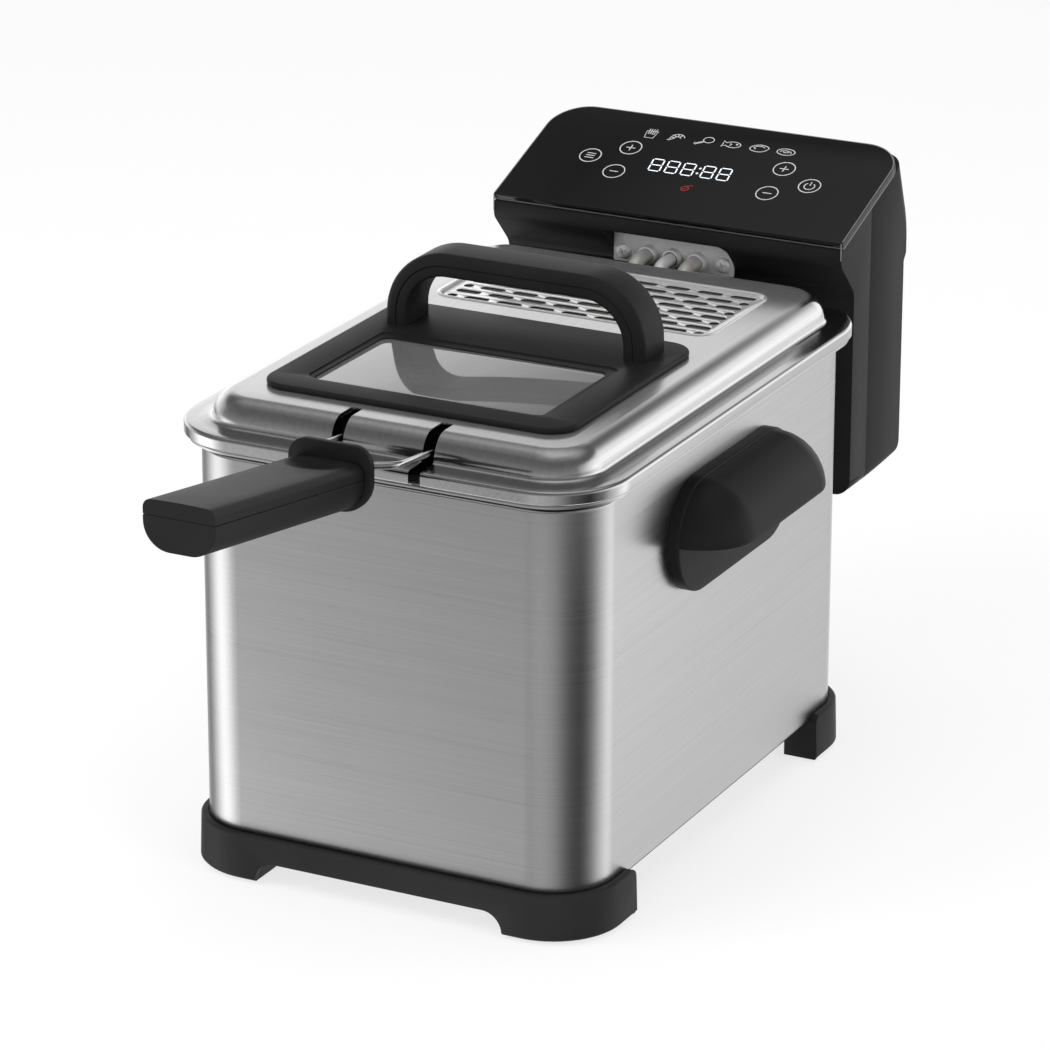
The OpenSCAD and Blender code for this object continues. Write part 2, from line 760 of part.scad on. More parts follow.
module lid_pan() color(steel) in_frame() difference() {
  union() {
    translate([0, lid_shift, 0]) rim_sweep(casing_w, casing_d, casing_r) lid_profile();
    translate([0, lid_shift, lid_top - lid_t]) linear_extrude(lid_t)
      rounded(casing_w - 2 * shoulder_c, casing_d - 2 * shoulder_c, casing_r - shoulder_c);
    translate([-104, lid_back - lid_t, rim_top]) cube([208, lid_t, flange_top - rim_top]);
  }
  translate([-casing_w, lid_back, 200]) cube([2 * casing_w, 60, 100]);
  translate([-notch_w / 2, notch_front, 200]) cube([notch_w, 60, 100]);
  for (s = [-1, 1]) translate([s * wire_x - slot_w / 2, slot_rear - 100, 200]) cube([slot_w, 100, 100]);
  translate([0, 0, 240]) linear_extrude(20) {
    window_outline(-1);
    vent_outline(0);
  }
}

module window_frame() color(black_plastic) in_frame() {
  glass_top = seal_t + glass_t;
  lip_t = 0.8;
  difference() {
    translate([0, (frame_front + frame_rear) / 2, lid_top])
      soft_slab(frame_w, frame_rear - frame_front, 15, frame_t, 1.3);
    translate([0, 0, lid_top]) {
      translate([0, 0, -1]) linear_extrude(10) window_outline(0);
      translate([0, 0, -1]) linear_extrude(1 + glass_top) window_outline(4);
      translate([0, 0, glass_top + lip_t]) linear_extrude(10) stepped_outline();
    }
  }
}

// The window opening's outline, made larger all round by grow.
module window_outline(grow) translate([0, (window_front + window_rear) / 2])
  rounded(window_w + 2 * grow, window_rear - window_front + 2 * grow, 5 + grow);

// The opening's wider upper part, which leaves a step beside and behind the glass.
module stepped_outline() translate([0, (window_front + window_rear + rear_step) / 2])
  rounded(window_w + 2 * side_step, window_rear + rear_step - window_front, 6);

module window_seal() color("#202020") in_frame()
  translate([0, 0, lid_top]) linear_extrude(seal_t) difference() {
    window_outline(3.5);
    window_outline(0.5);
  }

module window_glass() color(smoked_glass) in_frame()
  translate([0, 0, lid_top + seal_t]) linear_extrude(glass_t) window_outline(3.5);

// Sweeps a section over the bridge handle: x is the distance from the bend's middle, y the width.
module bridge() {
  cx = grip_gap_half - bend_r;
  cz = strap_low - bend_r;
  foot_z = lid_top + frame_t;
  translate([0, strap_y, 0]) {
    translate([cx, 0, cz]) rotate([0, -90, 0]) linear_extrude(2 * cx) children();
    for (s = [0, 1]) mirror([s, 0, 0]) translate([cx, 0, 0]) {
      translate([0, 0, foot_z]) linear_extrude(cz - foot_z) children();
      translate([0, 0, cz]) rotate([90, 0, 0]) rotate_extrude(angle = 90) children();
    }
  }
}

module lid_handle_shell() color(black_plastic) in_frame() bridge() {
  edge = 3.6;
  tall = 60;
  intersection() {
    translate([bend_r + strap_t - tall / 2, 0]) rounded(tall, strap_w, edge);
    translate([bend_r + strap_cap, -strap_w]) square([strap_t, 2 * strap_w]);
  }
}

module lid_handle_cap() color(black_plastic) in_frame() bridge() {
  edge = 1.8;
  w = strap_w / 2 - 0.3;
  translate([bend_r + edge, -w]) square([strap_cap - edge, 2 * w]);
  translate([bend_r, edge - w]) square([strap_cap, 2 * (w - edge)]);
  for (s = [-1, 1]) translate([bend_r + edge, s * (w - edge)]) circle(edge);
}

// The filter opening's outline, made larger all round by grow.
module vent_outline(grow) translate([0, (vent_front + vent_rear) / 2])
  rounded(vent_w + 2 * grow, vent_rear - vent_front + 2 * grow, 9 + grow);

module filter_cover() color(steel) in_frame() {
  rows = 8;
  flange = 1.7;
  translate([0, 0, lid_top - vent_sink]) {
    difference() {
      linear_extrude(sheet_t) vent_outline(-0.2);
      translate([0, (vent_front + vent_rear) / 2, -1])
        for (j = [0:rows - 1]) translate([0, (j - (rows - 1) / 2) * row_pitch, 0]) vent_row(1 - j % 2);
    }
    linear_extrude(vent_sink) difference() {
      vent_outline(-0.2);
      vent_outline(-1.4);
    }
    translate([0, 0, vent_sink]) linear_extrude(0.5) difference() {
      vent_outline(flange);
      vent_outline(-1.4);
    }
  }
}

// One row of slots; every other row is shifted by half a pitch and ends in round holes.
module vent_row(shifted) {
  len = 14.3;
  wide = 5;
  reach = 3.5 - shifted / 2;
  for (i = [-reach:reach]) translate([i * slot_pitch, 0, 0]) linear_extrude(4)
    stadium((len - wide) / 2, wide / 2);
  if (shifted == 1) for (s = [-1, 1]) translate([s * (reach + 0.75) * slot_pitch, 0, 0])
    cylinder(h = 4, d = wide);
}

module filter_mat() color("#35322e") in_frame()
  translate([0, 0, tray_low + mat_floor]) linear_extrude(lid_top - vent_sink - tray_low - mat_floor)
    vent_outline(-3);

module filter_tray() color(black_plastic) in_frame() translate([0, 0, tray_low]) {
  difference() {
    linear_extrude(mat_floor) vent_outline(-1);
    for (i = [-5:5]) translate([i * 13, (vent_front + vent_rear) / 2, -1]) linear_extrude(4)
      square([7, 70], center = true);
  }
  linear_extrude(lid_top - vent_sink - tray_low) difference() {
    vent_outline(-1);
    vent_outline(-2.5);
  }
}

// ---- assembly ----

outer_casing();
base_frame();
bottom_plate();
rubber_feet();
rim_ring();
side_handle_left();
side_handle_right();
head_rail();
bowl();
head_front_shell();
head_rear_shell();
touch_panel();
panel_trim();
element_bracket();
bracket_screws();
tube_collars();
heating_element();
thermostat_probe();
element_clips();
control_board();
display_module();
interlock_switch();
cord_gland();
basket_floor();
basket_front_wall();
basket_rear_wall();
basket_left_wall();
basket_right_wall();
basket_rim_wire();
handle_wires();
grip_upper();
grip_lower();
grip_collar();
lid_pan();
window_frame();
window_glass();
window_seal();
lid_handle_shell();
lid_handle_cap();
filter_cover();
filter_mat();
filter_tray();
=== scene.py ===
import json
import math

import bmesh
import bpy
from mathutils import Matrix, Vector


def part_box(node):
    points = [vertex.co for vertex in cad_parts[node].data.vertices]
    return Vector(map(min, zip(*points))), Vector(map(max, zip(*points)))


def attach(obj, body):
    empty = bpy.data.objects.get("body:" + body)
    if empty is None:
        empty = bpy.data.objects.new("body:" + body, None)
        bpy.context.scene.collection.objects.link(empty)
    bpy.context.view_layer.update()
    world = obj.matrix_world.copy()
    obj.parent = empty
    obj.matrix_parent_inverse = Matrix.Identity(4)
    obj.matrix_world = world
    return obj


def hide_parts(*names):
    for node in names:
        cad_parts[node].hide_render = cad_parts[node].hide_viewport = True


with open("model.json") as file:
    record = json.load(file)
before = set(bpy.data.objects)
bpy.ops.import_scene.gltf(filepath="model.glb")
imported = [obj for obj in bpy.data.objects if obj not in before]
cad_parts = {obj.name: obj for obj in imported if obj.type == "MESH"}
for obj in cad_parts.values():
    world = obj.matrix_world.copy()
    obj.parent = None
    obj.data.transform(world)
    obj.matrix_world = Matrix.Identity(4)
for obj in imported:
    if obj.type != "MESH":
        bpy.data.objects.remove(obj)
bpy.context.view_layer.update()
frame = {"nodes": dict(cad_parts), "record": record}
nodes = frame["nodes"]
mm = 0.001
casingLow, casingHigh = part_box("outer_casing")
middleY = (casingLow.y + casingHigh.y) / 2 / mm   # the casing's middle; sizes below are in millimetres from it
print("frame loaded:", len(nodes), "nodes")


# maths for outlines

def arc(cx, cy, radius, start, end, steps):
    turns = [math.radians(start + (end - start) * i / steps) for i in range(steps + 1)]
    return [(cx + radius * math.cos(t), cy + radius * math.sin(t)) for t in turns]


def oval(w, h, lift=0.0, start=0, end=360, step=12):
    turns = [math.radians(a) for a in range(start, end, step)]
    return [(w * math.cos(t), h * math.sin(t) + lift) for t in turns]


def circleLine(x, y, r, steps=36):
    return arc(x, y, r, 0, 360, steps)[:-1]


def roundedLine(w, d, r, steps=12, cx=0.0, cy=0.0):
    line = []
    for k, (sx, sy) in enumerate([(1, 1), (-1, 1), (-1, -1), (1, -1)]):
        line += arc(cx + sx * (w / 2 - r), cy + sy * (d / 2 - r), r, 90 * k, 90 * k + 90, steps)
    return line


def pill(length, width, steps=6, cx=0.0, cy=0.0):
    half = (length - width) / 2
    right = arc(cx + half, cy, width / 2, -90, 90, steps)
    return right + arc(cx - half, cy, width / 2, 90, 270, steps)


def mirrored(line):
    return [(-x, y) for x, y in line[::-1]]


def shifted(line, x, y):
    return [(x + u, y + v) for u, v in line]


def softened(line, cut, steps):
    points = [Vector(line[0])]
    for before, corner, after in zip(line, line[1:], line[2:]):
        corner = Vector(corner)
        a = corner + (Vector(before) - corner).normalized() * cut
        b = corner + (Vector(after) - corner).normalized() * cut
        for i in range(steps + 1):
            t = i / steps
            points.append(a * (1 - t) ** 2 + corner * 2 * t * (1 - t) + b * t * t)
    return points + [Vector(line[-1])]


# mesh makers: every one takes millimetres and returns an object whose own frame is the row frame

weld = 0.000005        # metres
weldSolid = 0.000004


def atCasing(x, y, z):
    return Vector((x * mm, (y + middleY) * mm, z * mm))


def turnBy(degrees, axis="X", size=4):
    return Matrix.Rotation(math.radians(degrees), size, axis)


def placed(name, data):
    made = bpy.data.objects.new(name, data)
    bpy.context.scene.collection.objects.link(made)
    return made


def finishMesh(mesh, smooth):
    work = bmesh.new()
    work.from_mesh(mesh)
    bmesh.ops.remove_doubles(work, verts=work.verts, dist=weld)
    bmesh.ops.recalc_face_normals(work, faces=work.faces)
    limit = math.radians(smooth)
    for face in work.faces:
        face.smooth = True
    for edge in work.edges:
        edge.smooth = len(edge.link_faces) != 2 or edge.calc_face_angle(0) < limit
    work.to_mesh(mesh)
    work.free()


def makePiece(name, points, faces, smooth=35):
    mesh = bpy.data.meshes.new(name)
    mesh.from_pydata([atCasing(*p) for p in points], [], faces)
    finishMesh(mesh, smooth)
    return placed(name, mesh)


def loft(name, rings, closed=False, caps=True, smooth=35):
    count = len(rings[0])
    points = [p for ring in rings for p in ring]
    faces = []
    for i in range(len(rings) if closed else len(rings) - 1):
        a, b = i * count, (i + 1) % len(rings) * count
        faces += [(a + k, a + (k + 1) % count, b + (k + 1) % count, b + k) for k in range(count)]
    if caps and not closed:
        faces += [tuple(range(count))[::-1], tuple(range(len(points) - count, len(points)))]
    return makePiece(name, points, faces, smooth)


def sweepRim(name, profile, w, d, r, steps=14, cy=0.0):
    loops = [roundedLine(w + 2 * out, d + 2 * out, r + out, steps, 0, cy) for out, z in profile]
    heights = [z for out, z in profile]
    rings = [[(*loop[i], z) for loop, z in zip(loops, heights)] for i in range(len(loops[0]))]
    return loft(name, rings, closed=True)


def applied(piece, smooth=None):
    bpy.context.view_layer.update()
    graph = bpy.context.evaluated_depsgraph_get()
    mesh = bpy.data.meshes.new_from_object(piece.evaluated_get(graph), depsgraph=graph)
    if piece.type != "MESH":
        made = placed(piece.name, mesh)
        bpy.data.objects.remove(piece)
        piece = made
    else:
        piece.modifiers.clear()
        piece.data = mesh
    if smooth is not None:
        finishMesh(piece.data, smooth)
    return piece


def cut(piece, cutters, smooth=35):
    for cutter in cutters:
        step = piece.modifiers.new("cut", "BOOLEAN")
        step.operation = "DIFFERENCE"
        step.solver = "EXACT"
        step.object = cutter
    piece = applied(piece, smooth)
    for cutter in cutters:
        bpy.data.objects.remove(cutter)
    return piece


def rounded(piece, width, segments, angle):
    step = piece.modifiers.new("round", "BEVEL")
    step.width = width * mm
    step.segments = segments
    step.limit_method = "ANGLE"
    step.angle_limit = math.radians(angle)
    step.use_clamp_overlap = True
    return applied(piece, 35)


def joined(name, pieces):
    work = bmesh.new()
    for piece in pieces:
        mesh = piece.data.copy()
        mesh.transform(piece.matrix_world)
        work.from_mesh(mesh)
        bpy.data.meshes.remove(mesh)
    mesh = bpy.data.meshes.new(name)
    work.to_mesh(mesh)
    work.free()
    for piece in pieces:
        bpy.data.objects.remove(piece)
    return placed(name, mesh)


def turned(piece, matrix):
    piece.data.transform(matrix)
    return piece


def sheetCut(name, outlines, low, high, edge=0.0, matrix=None, edgeSteps=1):
    curve = bpy.data.curves.new(name, "CURVE")
    curve.dimensions = "2D"
    curve.fill_mode = "BOTH"
    for outline in outlines:
        spline = curve.splines.new("POLY")
        spline.points.add(len(outline) - 1)
        for point, (x, y) in zip(spline.points, outline):
            point.co = (x * mm, y * mm, 0, 1)
        spline.use_cyclic_u = True
    curve.extrude = ((high - low) / 2 - edge) * mm
    curve.bevel_depth = edge * mm
    curve.bevel_resolution = edgeSteps
    curve.offset = -edge * mm
    piece = applied(placed(name, curve), 35)
    turned(piece, Matrix.Translation((0, 0, (low + high) / 2 * mm)))
    turned(piece, matrix or Matrix.Translation((0, middleY * mm, 0)))
    finishMesh(piece.data, 35)
    return piece


def prism(name, outline, low, high):
    return loft(name, [[(x, y, low) for x, y in outline], [(x, y, high) for x, y in outline]])


def block(name, low, high):
    (x0, y0, z0), (x1, y1, z1) = low, high
    return prism(name, [(x0, y0), (x1, y0), (x1, y1), (x0, y1)], z0, z1)


def tube(name, line, radius, sides=14, closed=False):
    line = [Vector(p) for p in line]
    count = len(line)
    rings = []
    side = None
    for i, point in enumerate(line):
        before = line[i - 1] if i or closed else point
        after = line[(i + 1) % count] if i + 1 < count or closed else point
        ahead = (after - before).normalized()
        if side is None:
            side = ahead.orthogonal().normalized()
        side = (side - ahead * side.dot(ahead)).normalized()
        up = ahead.cross(side)
        turns = [2 * math.pi * k / sides for k in range(sides)]
        rings.append([tuple(point + radius * (side * math.cos(t) + up * math.sin(t))) for t in turns])
    if not closed:
        return loft(name, rings, smooth=50)
    shift = min(range(sides), key=lambda k: (Vector(rings[0][k]) - Vector(rings[-1][0])).length)
    rings.append([rings[0][(k + shift) % sides] for k in range(sides)])
    return loft(name, rings, caps=False, smooth=50)


def spun(name, profile, matrix, steps=32):
    rings = []
    for i in range(steps):
        t = 2 * math.pi * i / steps
        rings.append([(radius * math.cos(t), radius * math.sin(t) - middleY, z) for radius, z in profile])
    return turned(loft(name, rings, closed=True), matrix)


def refined(node, edge, segments):
    piece = placed(node + "Body", nodes[node].data.copy())
    piece.data.materials.clear()
    work = bmesh.new()
    work.from_mesh(piece.data)
    bmesh.ops.remove_doubles(work, verts=work.verts, dist=weldSolid)
    bmesh.ops.dissolve_limit(work, angle_limit=math.radians(1.0), verts=work.verts, edges=work.edges)
    work.to_mesh(piece.data)
    work.free()
    return rounded(piece, edge, segments, 35)


# finishes

class Socket:
    def __init__(self, finish, socket):
        self.finish = finish
        self.socket = socket

    def maths(self, operation, first, second):
        return self.finish.add("ShaderNodeMath", {"operation": operation}, {0: first, 1: second}).out("Value")

    def __add__(self, other):
        return self.maths("ADD", self, other)

    def __sub__(self, other):
        return self.maths("SUBTRACT", self, other)

    def __rsub__(self, other):
        return self.maths("SUBTRACT", other, self)

    def __mul__(self, other):
        return self.maths("MULTIPLY", self, other)

    __radd__ = __add__
    __rmul__ = __mul__


class Node:
    def __init__(self, finish, node):
        self.finish = finish
        self.node = node

    def out(self, name):
        return Socket(self.finish, self.node.outputs[name])


class Finish:
    def __init__(self, name, owner=None):
        self.material = owner or bpy.data.materials.new(name)
        self.material.use_nodes = True
        self.tree = self.material.node_tree
        self.tree.nodes.clear()
        self.place = self.add("ShaderNodeTexCoord").out("Generated" if owner else "Object")

    def add(self, kind, settings=None, values=None):
        node = self.tree.nodes.new(kind)
        for key, value in (settings or {}).items():
            if key == "stops":
                ramp = node.color_ramp
                while len(ramp.elements) < len(value):
                    ramp.elements.new(0.5)
                for element, (position, colour) in zip(ramp.elements, value):
                    element.position = position
                    element.color = (*colour, 1)
            else:
                setattr(node, key, value)
        for key, value in (values or {}).items():
            if isinstance(value, Socket):
                self.tree.links.new(value.socket, node.inputs[key])
            else:
                node.inputs[key].default_value = value
        return Node(self, node)

    def noise(self, scale, detail=2.0, rough=0.5, stretch=(1, 1, 1)):
        mapped = self.add("ShaderNodeMapping", {}, {"Vector": self.place, "Scale": stretch}).out("Vector")
        return self.add("ShaderNodeTexNoise", {}, {
            "Vector": mapped, "Scale": scale, "Detail": detail, "Roughness": rough}).out("Fac")

    def ramp(self, amount, stops):
        return self.add("ShaderNodeValToRGB", {"stops": stops}, {"Fac": amount}).out("Color")

    def tint(self, amount, dark, light):
        return self.ramp(amount, [(0.3, dark), (0.7, light)])

    def spread(self, amount, low, high):
        return self.add("ShaderNodeMapRange", {}, {"Value": amount, "From Min": low, "From Max": high}).out("Result")

    def bump(self, height, strength, distance):
        return self.add("ShaderNodeBump", {}, {
            "Height": height, "Strength": strength, "Distance": distance * mm}).out("Normal")

    def surface(self, **values):
        inputs = {key.replace("_", " "): value for key, value in values.items()}
        shader = self.add("ShaderNodeBsdfPrincipled", {}, inputs)
        self.add("ShaderNodeOutputMaterial", {}, {"Surface": shader.out("BSDF")})
        return self.material


def grey(value, warm=0.0):
    return (value * (1 + warm), value, value * (1 - warm))


smudges = {"scale": 9.0, "share": 0.06}   # faint patches of handling on every steel


def brushedSteel(name, light, rough, stretch, streak=0.1, bite=0.05, metal=1.0):
    steel = Finish(name)
    grain = steel.noise(1.0, 3.0, 0.6, stretch)
    smudge = steel.noise(smudges["scale"])
    return steel.surface(
        Base_Color=steel.tint(grain, grey(light * 0.93), grey(light * 1.05)),
        Metallic=metal,
        Roughness=grain * streak + smudge * smudges["share"] + (rough - streak / 2 - smudges["share"] / 2),
        Normal=steel.bump(grain, bite, 0.2))


def lidSteel(name, top):
    # pressed sheet: polished where it bends, more matt on its flat top
    steel = Finish(name)
    grain = steel.noise(1.0, 3.0, 0.6, (500, 8, 500))
    smudge = steel.noise(smudges["scale"])
    height = steel.add("ShaderNodeSeparateXYZ", {}, {"Vector": steel.place}).out("Z")
    flat = steel.spread(height, (top - 0.9) * mm, (top - 0.1) * mm)
    return steel.surface(
        Base_Color=steel.tint(grain, grey(0.61), grey(0.69)),
        Metallic=1.0 - flat * 0.12,
        Roughness=grain * 0.05 + smudge * smudges["share"] + flat * 0.08 + 0.1,
        Normal=steel.bump(grain, 0.015, 0.2))


def mouldedPlastic(name, light, rough, grainSize=0.45, bite=0.12):
    plastic = Finish(name)
    grain = plastic.noise(1 / (grainSize * mm), 2.0, 0.6)
    cloud = plastic.noise(22.0)
    return plastic.surface(
        Base_Color=plastic.tint(cloud, grey(light * 0.9), grey(light * 1.1)),
        Specular_IOR_Level=0.12,
        Roughness=cloud * 0.1 + (rough - 0.05),
        Normal=plastic.bump(grain, bite, 0.08))


def darkGlass(name):
    glass = Finish(name)
    haze = glass.noise(14.0)
    return glass.surface(
        Base_Color=glass.tint(haze, grey(0.003), grey(0.005)),
        Roughness=haze * 0.03 + 0.03,
        Specular_IOR_Level=0.4,
        IOR=1.5)


def glassWithPaintedReflection(name):
    glass = Finish(name)
    haze = glass.noise(20.0)
    # painted reflection: the grey base colour, seen through only part transmission, stands in for the light sky the
    # window glass mirrors
    return glass.surface(
        Base_Color=glass.tint(haze, grey(0.27), grey(0.31)),
        Roughness=haze * 0.03 + 0.02,
        Transmission_Weight=0.6,
        IOR=1.6)


def printedInk(name, light):
    ink = Finish(name)
    speck = ink.noise(900.0)
    return ink.surface(Base_Color=ink.tint(speck, grey(light * 0.9), grey(light)), Roughness=0.45)


def litSign(name, colour, strength):
    sign = Finish(name)
    return sign.surface(
        Base_Color=(*colour, 1), Emission_Color=(*colour, 1), Emission_Strength=strength, Roughness=0.4)


def heatedSteel(name):
    steel = Finish(name)
    patch = steel.noise(35.0, 3.0, 0.6)
    grain = steel.noise(700.0)
    return steel.surface(
        Base_Color=steel.ramp(patch, [
            (0.35, (0.42, 0.41, 0.40)), (0.5, (0.52, 0.50, 0.47)), (0.68, (0.46, 0.46, 0.47))]),
        Metallic=0.5,
        Roughness=patch * 0.2 + 0.3,
        Normal=steel.bump(grain, 0.1, 0.1))


def filterFelt(name):
    felt = Finish(name)
    fibre = felt.noise(1600.0, 4.0, 0.7)
    return felt.surface(
        Base_Color=felt.tint(fibre, grey(0.02, 0.05), grey(0.09, 0.05)),
        Roughness=0.95,
        Normal=felt.bump(fibre, 0.6, 0.6))


finishes = {
    "casing_steel": brushedSteel("casingSteel", light=0.60, rough=0.30, stretch=(5, 5, 2200), streak=0.14),
    "lid_steel": lidSteel("lidSteel", top=250.8),
    "plain_steel": brushedSteel("plainSteel", light=0.50, rough=0.32, stretch=(60, 60, 900), streak=0.08, bite=0.03),
    "filter_steel": brushedSteel(
        "filterSteel", light=0.86, rough=0.2, stretch=(500, 8, 500), streak=0.05, bite=0.01, metal=0.72),
    "bracket_steel": brushedSteel(
        "bracketSteel", light=0.68, rough=0.34, stretch=(300, 60, 300), streak=0.08, bite=0.03, metal=0.45),
    "wire_steel": brushedSteel("wireSteel", light=0.72, rough=0.16, stretch=(300, 300, 300), streak=0.05, bite=0.01),
    "heater": heatedSteel("heatedSteel"),
    "black_plastic": mouldedPlastic("blackPlastic", light=0.011, rough=0.44),
    "grey_plastic": mouldedPlastic("greyPlastic", light=0.018, rough=0.46),
    "panel_glass": darkGlass("panelGlass"),
    # the panel trim is a real part, but its light grey is a painted highlight along the glass's edge; the edge stroke
    # and lip rods below wear it too
    "trim": mouldedPlastic("trimPaintedHighlightGrey", light=0.16, rough=0.35),
    # the window glass's grey is painted reflection
    "window_glass": glassWithPaintedReflection("windowGlass"),
    "rubber": mouldedPlastic("blackRubber", light=0.012, rough=0.7, grainSize=0.9, bite=0.2),
    "board": mouldedPlastic("boardGreen", light=0.03, rough=0.4),
    "switch": mouldedPlastic("switchRed", light=0.05, rough=0.4),
    "felt": filterFelt("filterFelt"),
}
inks = {
    "white": printedInk("whiteInk", 0.55),
    "lit": litSign("litDigits", (0.75, 0.8, 0.85), 0.5),
    "red": litSign("litRed", (0.22, 0.012, 0.012), 0.2),
}
slotOf = {entry["node"]: entry["material_slot"] for entry in frame["record"]["subparts"]}
bodyOf = {node: body for body, members in frame["record"]["behaviour"]["bodies"].items() for node in members}
for node, obj in nodes.items():
    obj.data.materials.clear()
    obj.data.materials.append(finishes[slotOf[node]])


def dress(piece, *standsFor, slot=None, body=None, material=None):
    node = standsFor[0] if standsFor else None
    slot = slot or slotOf[node]
    piece.data.materials.clear()
    piece.data.materials.append(material or finishes[slot])
    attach(piece, body or bodyOf[node])
    if standsFor:
        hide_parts(*standsFor)


softEdges = {     # pieces that keep the solid's own shape: radius and steps of their rounded edges
    "base_frame": (0.5, 2), "rubber_feet": (0.8, 3), "head_rail": (0.6, 2), "grip_collar": (1.0, 3),
    "head_front_shell": (0.7, 3), "head_rear_shell": (0.5, 2), "cord_gland": (0.5, 2), "element_bracket": (0.25, 2),
    "element_clips": (0.4, 2),
}


def soften(node, material=None):
    dress(refined(node, *softEdges[node]), node, material=material)


# casing and base

casing = {"w": 224, "d": 319, "r": 32.5, "top": 224.1, "foot": 23, "fold": 1.3,
          "wall": 1, "bend": 1.6, "ledge": 4.8, "hem": 6}


def trayShape(name, profile, steps=14, cy=0.0):
    rings = []
    for out, z in profile:
        line = roundedLine(casing["w"] + 2 * out, casing["d"] + 2 * out, casing["r"] + out, steps, 0, cy)
        rings.append([(x, y, z) for x, y in line])
    return loft(name, rings)


def makeCasing():
    top, foot, fold = casing["top"], casing["foot"], casing["fold"]
    wall, bend, ledge, hem = casing["wall"], casing["bend"], casing["ledge"], casing["hem"]
    outside = [(0, foot + fold)] + arc(-fold, top - fold, fold, 0, 90, 4)
    upper = [(-ledge, top), (-ledge, top - wall), (-bend, top - wall), (-wall, top - bend)]
    lower = [(-wall, foot + bend), (-bend, foot + wall), (-hem, foot + wall), (-hem, foot)]
    profile = outside + upper + lower + arc(-fold, foot + fold, fold, -90, 0, 4)[:-1]
    dress(sweepRim("casingSleeve", profile, casing["w"], casing["d"], casing["r"], 18), "outer_casing")
    for node in ("base_frame", "rubber_feet", "head_rail"):
        soften(node)


sideGrip = {"plate": 29.9, "half": 38.4, "z": 180, "thick": 6.6, "edge": 1.2, "hood": 29.1, "wall": 3, "y": -1,
            "lip": 1.4, "brim": 1.6, "brimIn": 0.6, "overlap": 0.5,
            "crown": (90, 85, 78, 70, 60, 50, 40, 30, 20, 12, 6, 3), "hollow": (3, 12, 25, 40, 55, 70, 82, 90)}


def makeSideHandles():
    g = sideGrip
    face = casing["w"] / 2
    outer, inner = g["hood"], g["hood"] - g["wall"]
    lip, edge = g["lip"], g["edge"]
    steps = [(0, 0), (0, g["thick"] - edge)]
    steps += [(edge - edge * math.cos(t), g["thick"] - edge + edge * math.sin(t)) for t in (0.5, 1.0, 1.571)]
    for name, side in (("Right", 1), ("Left", -1)):
        rings = []
        for inset, out in steps:
            line = pill(2 * (g["half"] + g["plate"] - inset), 2 * (g["plate"] - inset), steps=28)
            rings.append([(side * (face + out), g["y"] + u, g["z"] + v) for u, v in line])
        plate = loft("plate" + name, rings)

        def dome(radius, level):
            # one row of the hood's skin: a stadium arc at one height, seen from above
            reach = math.sqrt(max(radius * radius - level * level, 0))
            half = arc(0, g["half"], reach, 90, 0, 18) + arc(0, -g["half"], reach, 0, -90, 18)
            root = face + g["thick"] - g["overlap"]
            return [(side * (root + x), g["y"] + y, g["z"] + level) for x, y in half]

        rows = [dome(outer, outer * math.sin(math.radians(a))) for a in g["crown"]]
        rows += [dome(outer - lip + lip * math.cos(t), lip - lip * math.sin(t)) for t in (0.6, 1.1)]
        rows += [dome(outer - g["brim"], 0.0), dome(inner + g["brimIn"], 0.0)]
        rows += [dome(inner, inner * math.sin(math.radians(a))) for a in g["hollow"]]
        hood = loft("hood" + name, rows, caps=False)
        dress(joined("sideHandle" + name, [plate, hood]), "side_handle_" + name.lower())


makeCasing()
makeSideHandles()
print("casing, base and side handles made")


# bowl and basket

bowl = {"inset": 5.5, "floor": 60, "fillet": 14, "rim": 229.8, "rimOut": 6.5, "sheet": 1, "edge": 1.5,
        "neck": [(0, -1.6), (0.6, -1.1)],                                         # wall to rim, below the rim's top
        "under": [(-2, -1.1), (-1, -1.7), (-1, -2.2), (-0.5, -2.5), (0, -2.2)]}   # and round its outer edge


def makeBowl():
    b = bowl
    wall, rim, edge, sheet = -b["inset"], b["rim"], b["edge"], b["sheet"]
    foot, low = wall - b["fillet"], b["floor"] + b["fillet"]
    outside = arc(foot, low, b["fillet"], -90, 0, 8) + shifted(b["neck"], wall, rim)
    curl = shifted(b["under"], b["rimOut"], rim) + arc(b["rimOut"] - edge, rim - edge, edge, 0, 90, 5)
    inside = [(wall, rim), (wall - sheet, rim - sheet)] + arc(foot, low, b["fillet"] - sheet, 0, -90, 8)
    dress(trayShape("bowlPan", outside + curl + inside), "bowl")


basket = {"w": 184, "front": -136, "rear": 130, "low": 84, "rim": 212, "r": 10, "bend": 7, "pitch": 9.4,
          "wire": 1.5, "rimWire": 5, "inset": 1.2, "over": 1.4, "hoopIn": 2.6, "hoopR": 8, "hoopAt": 0.4}


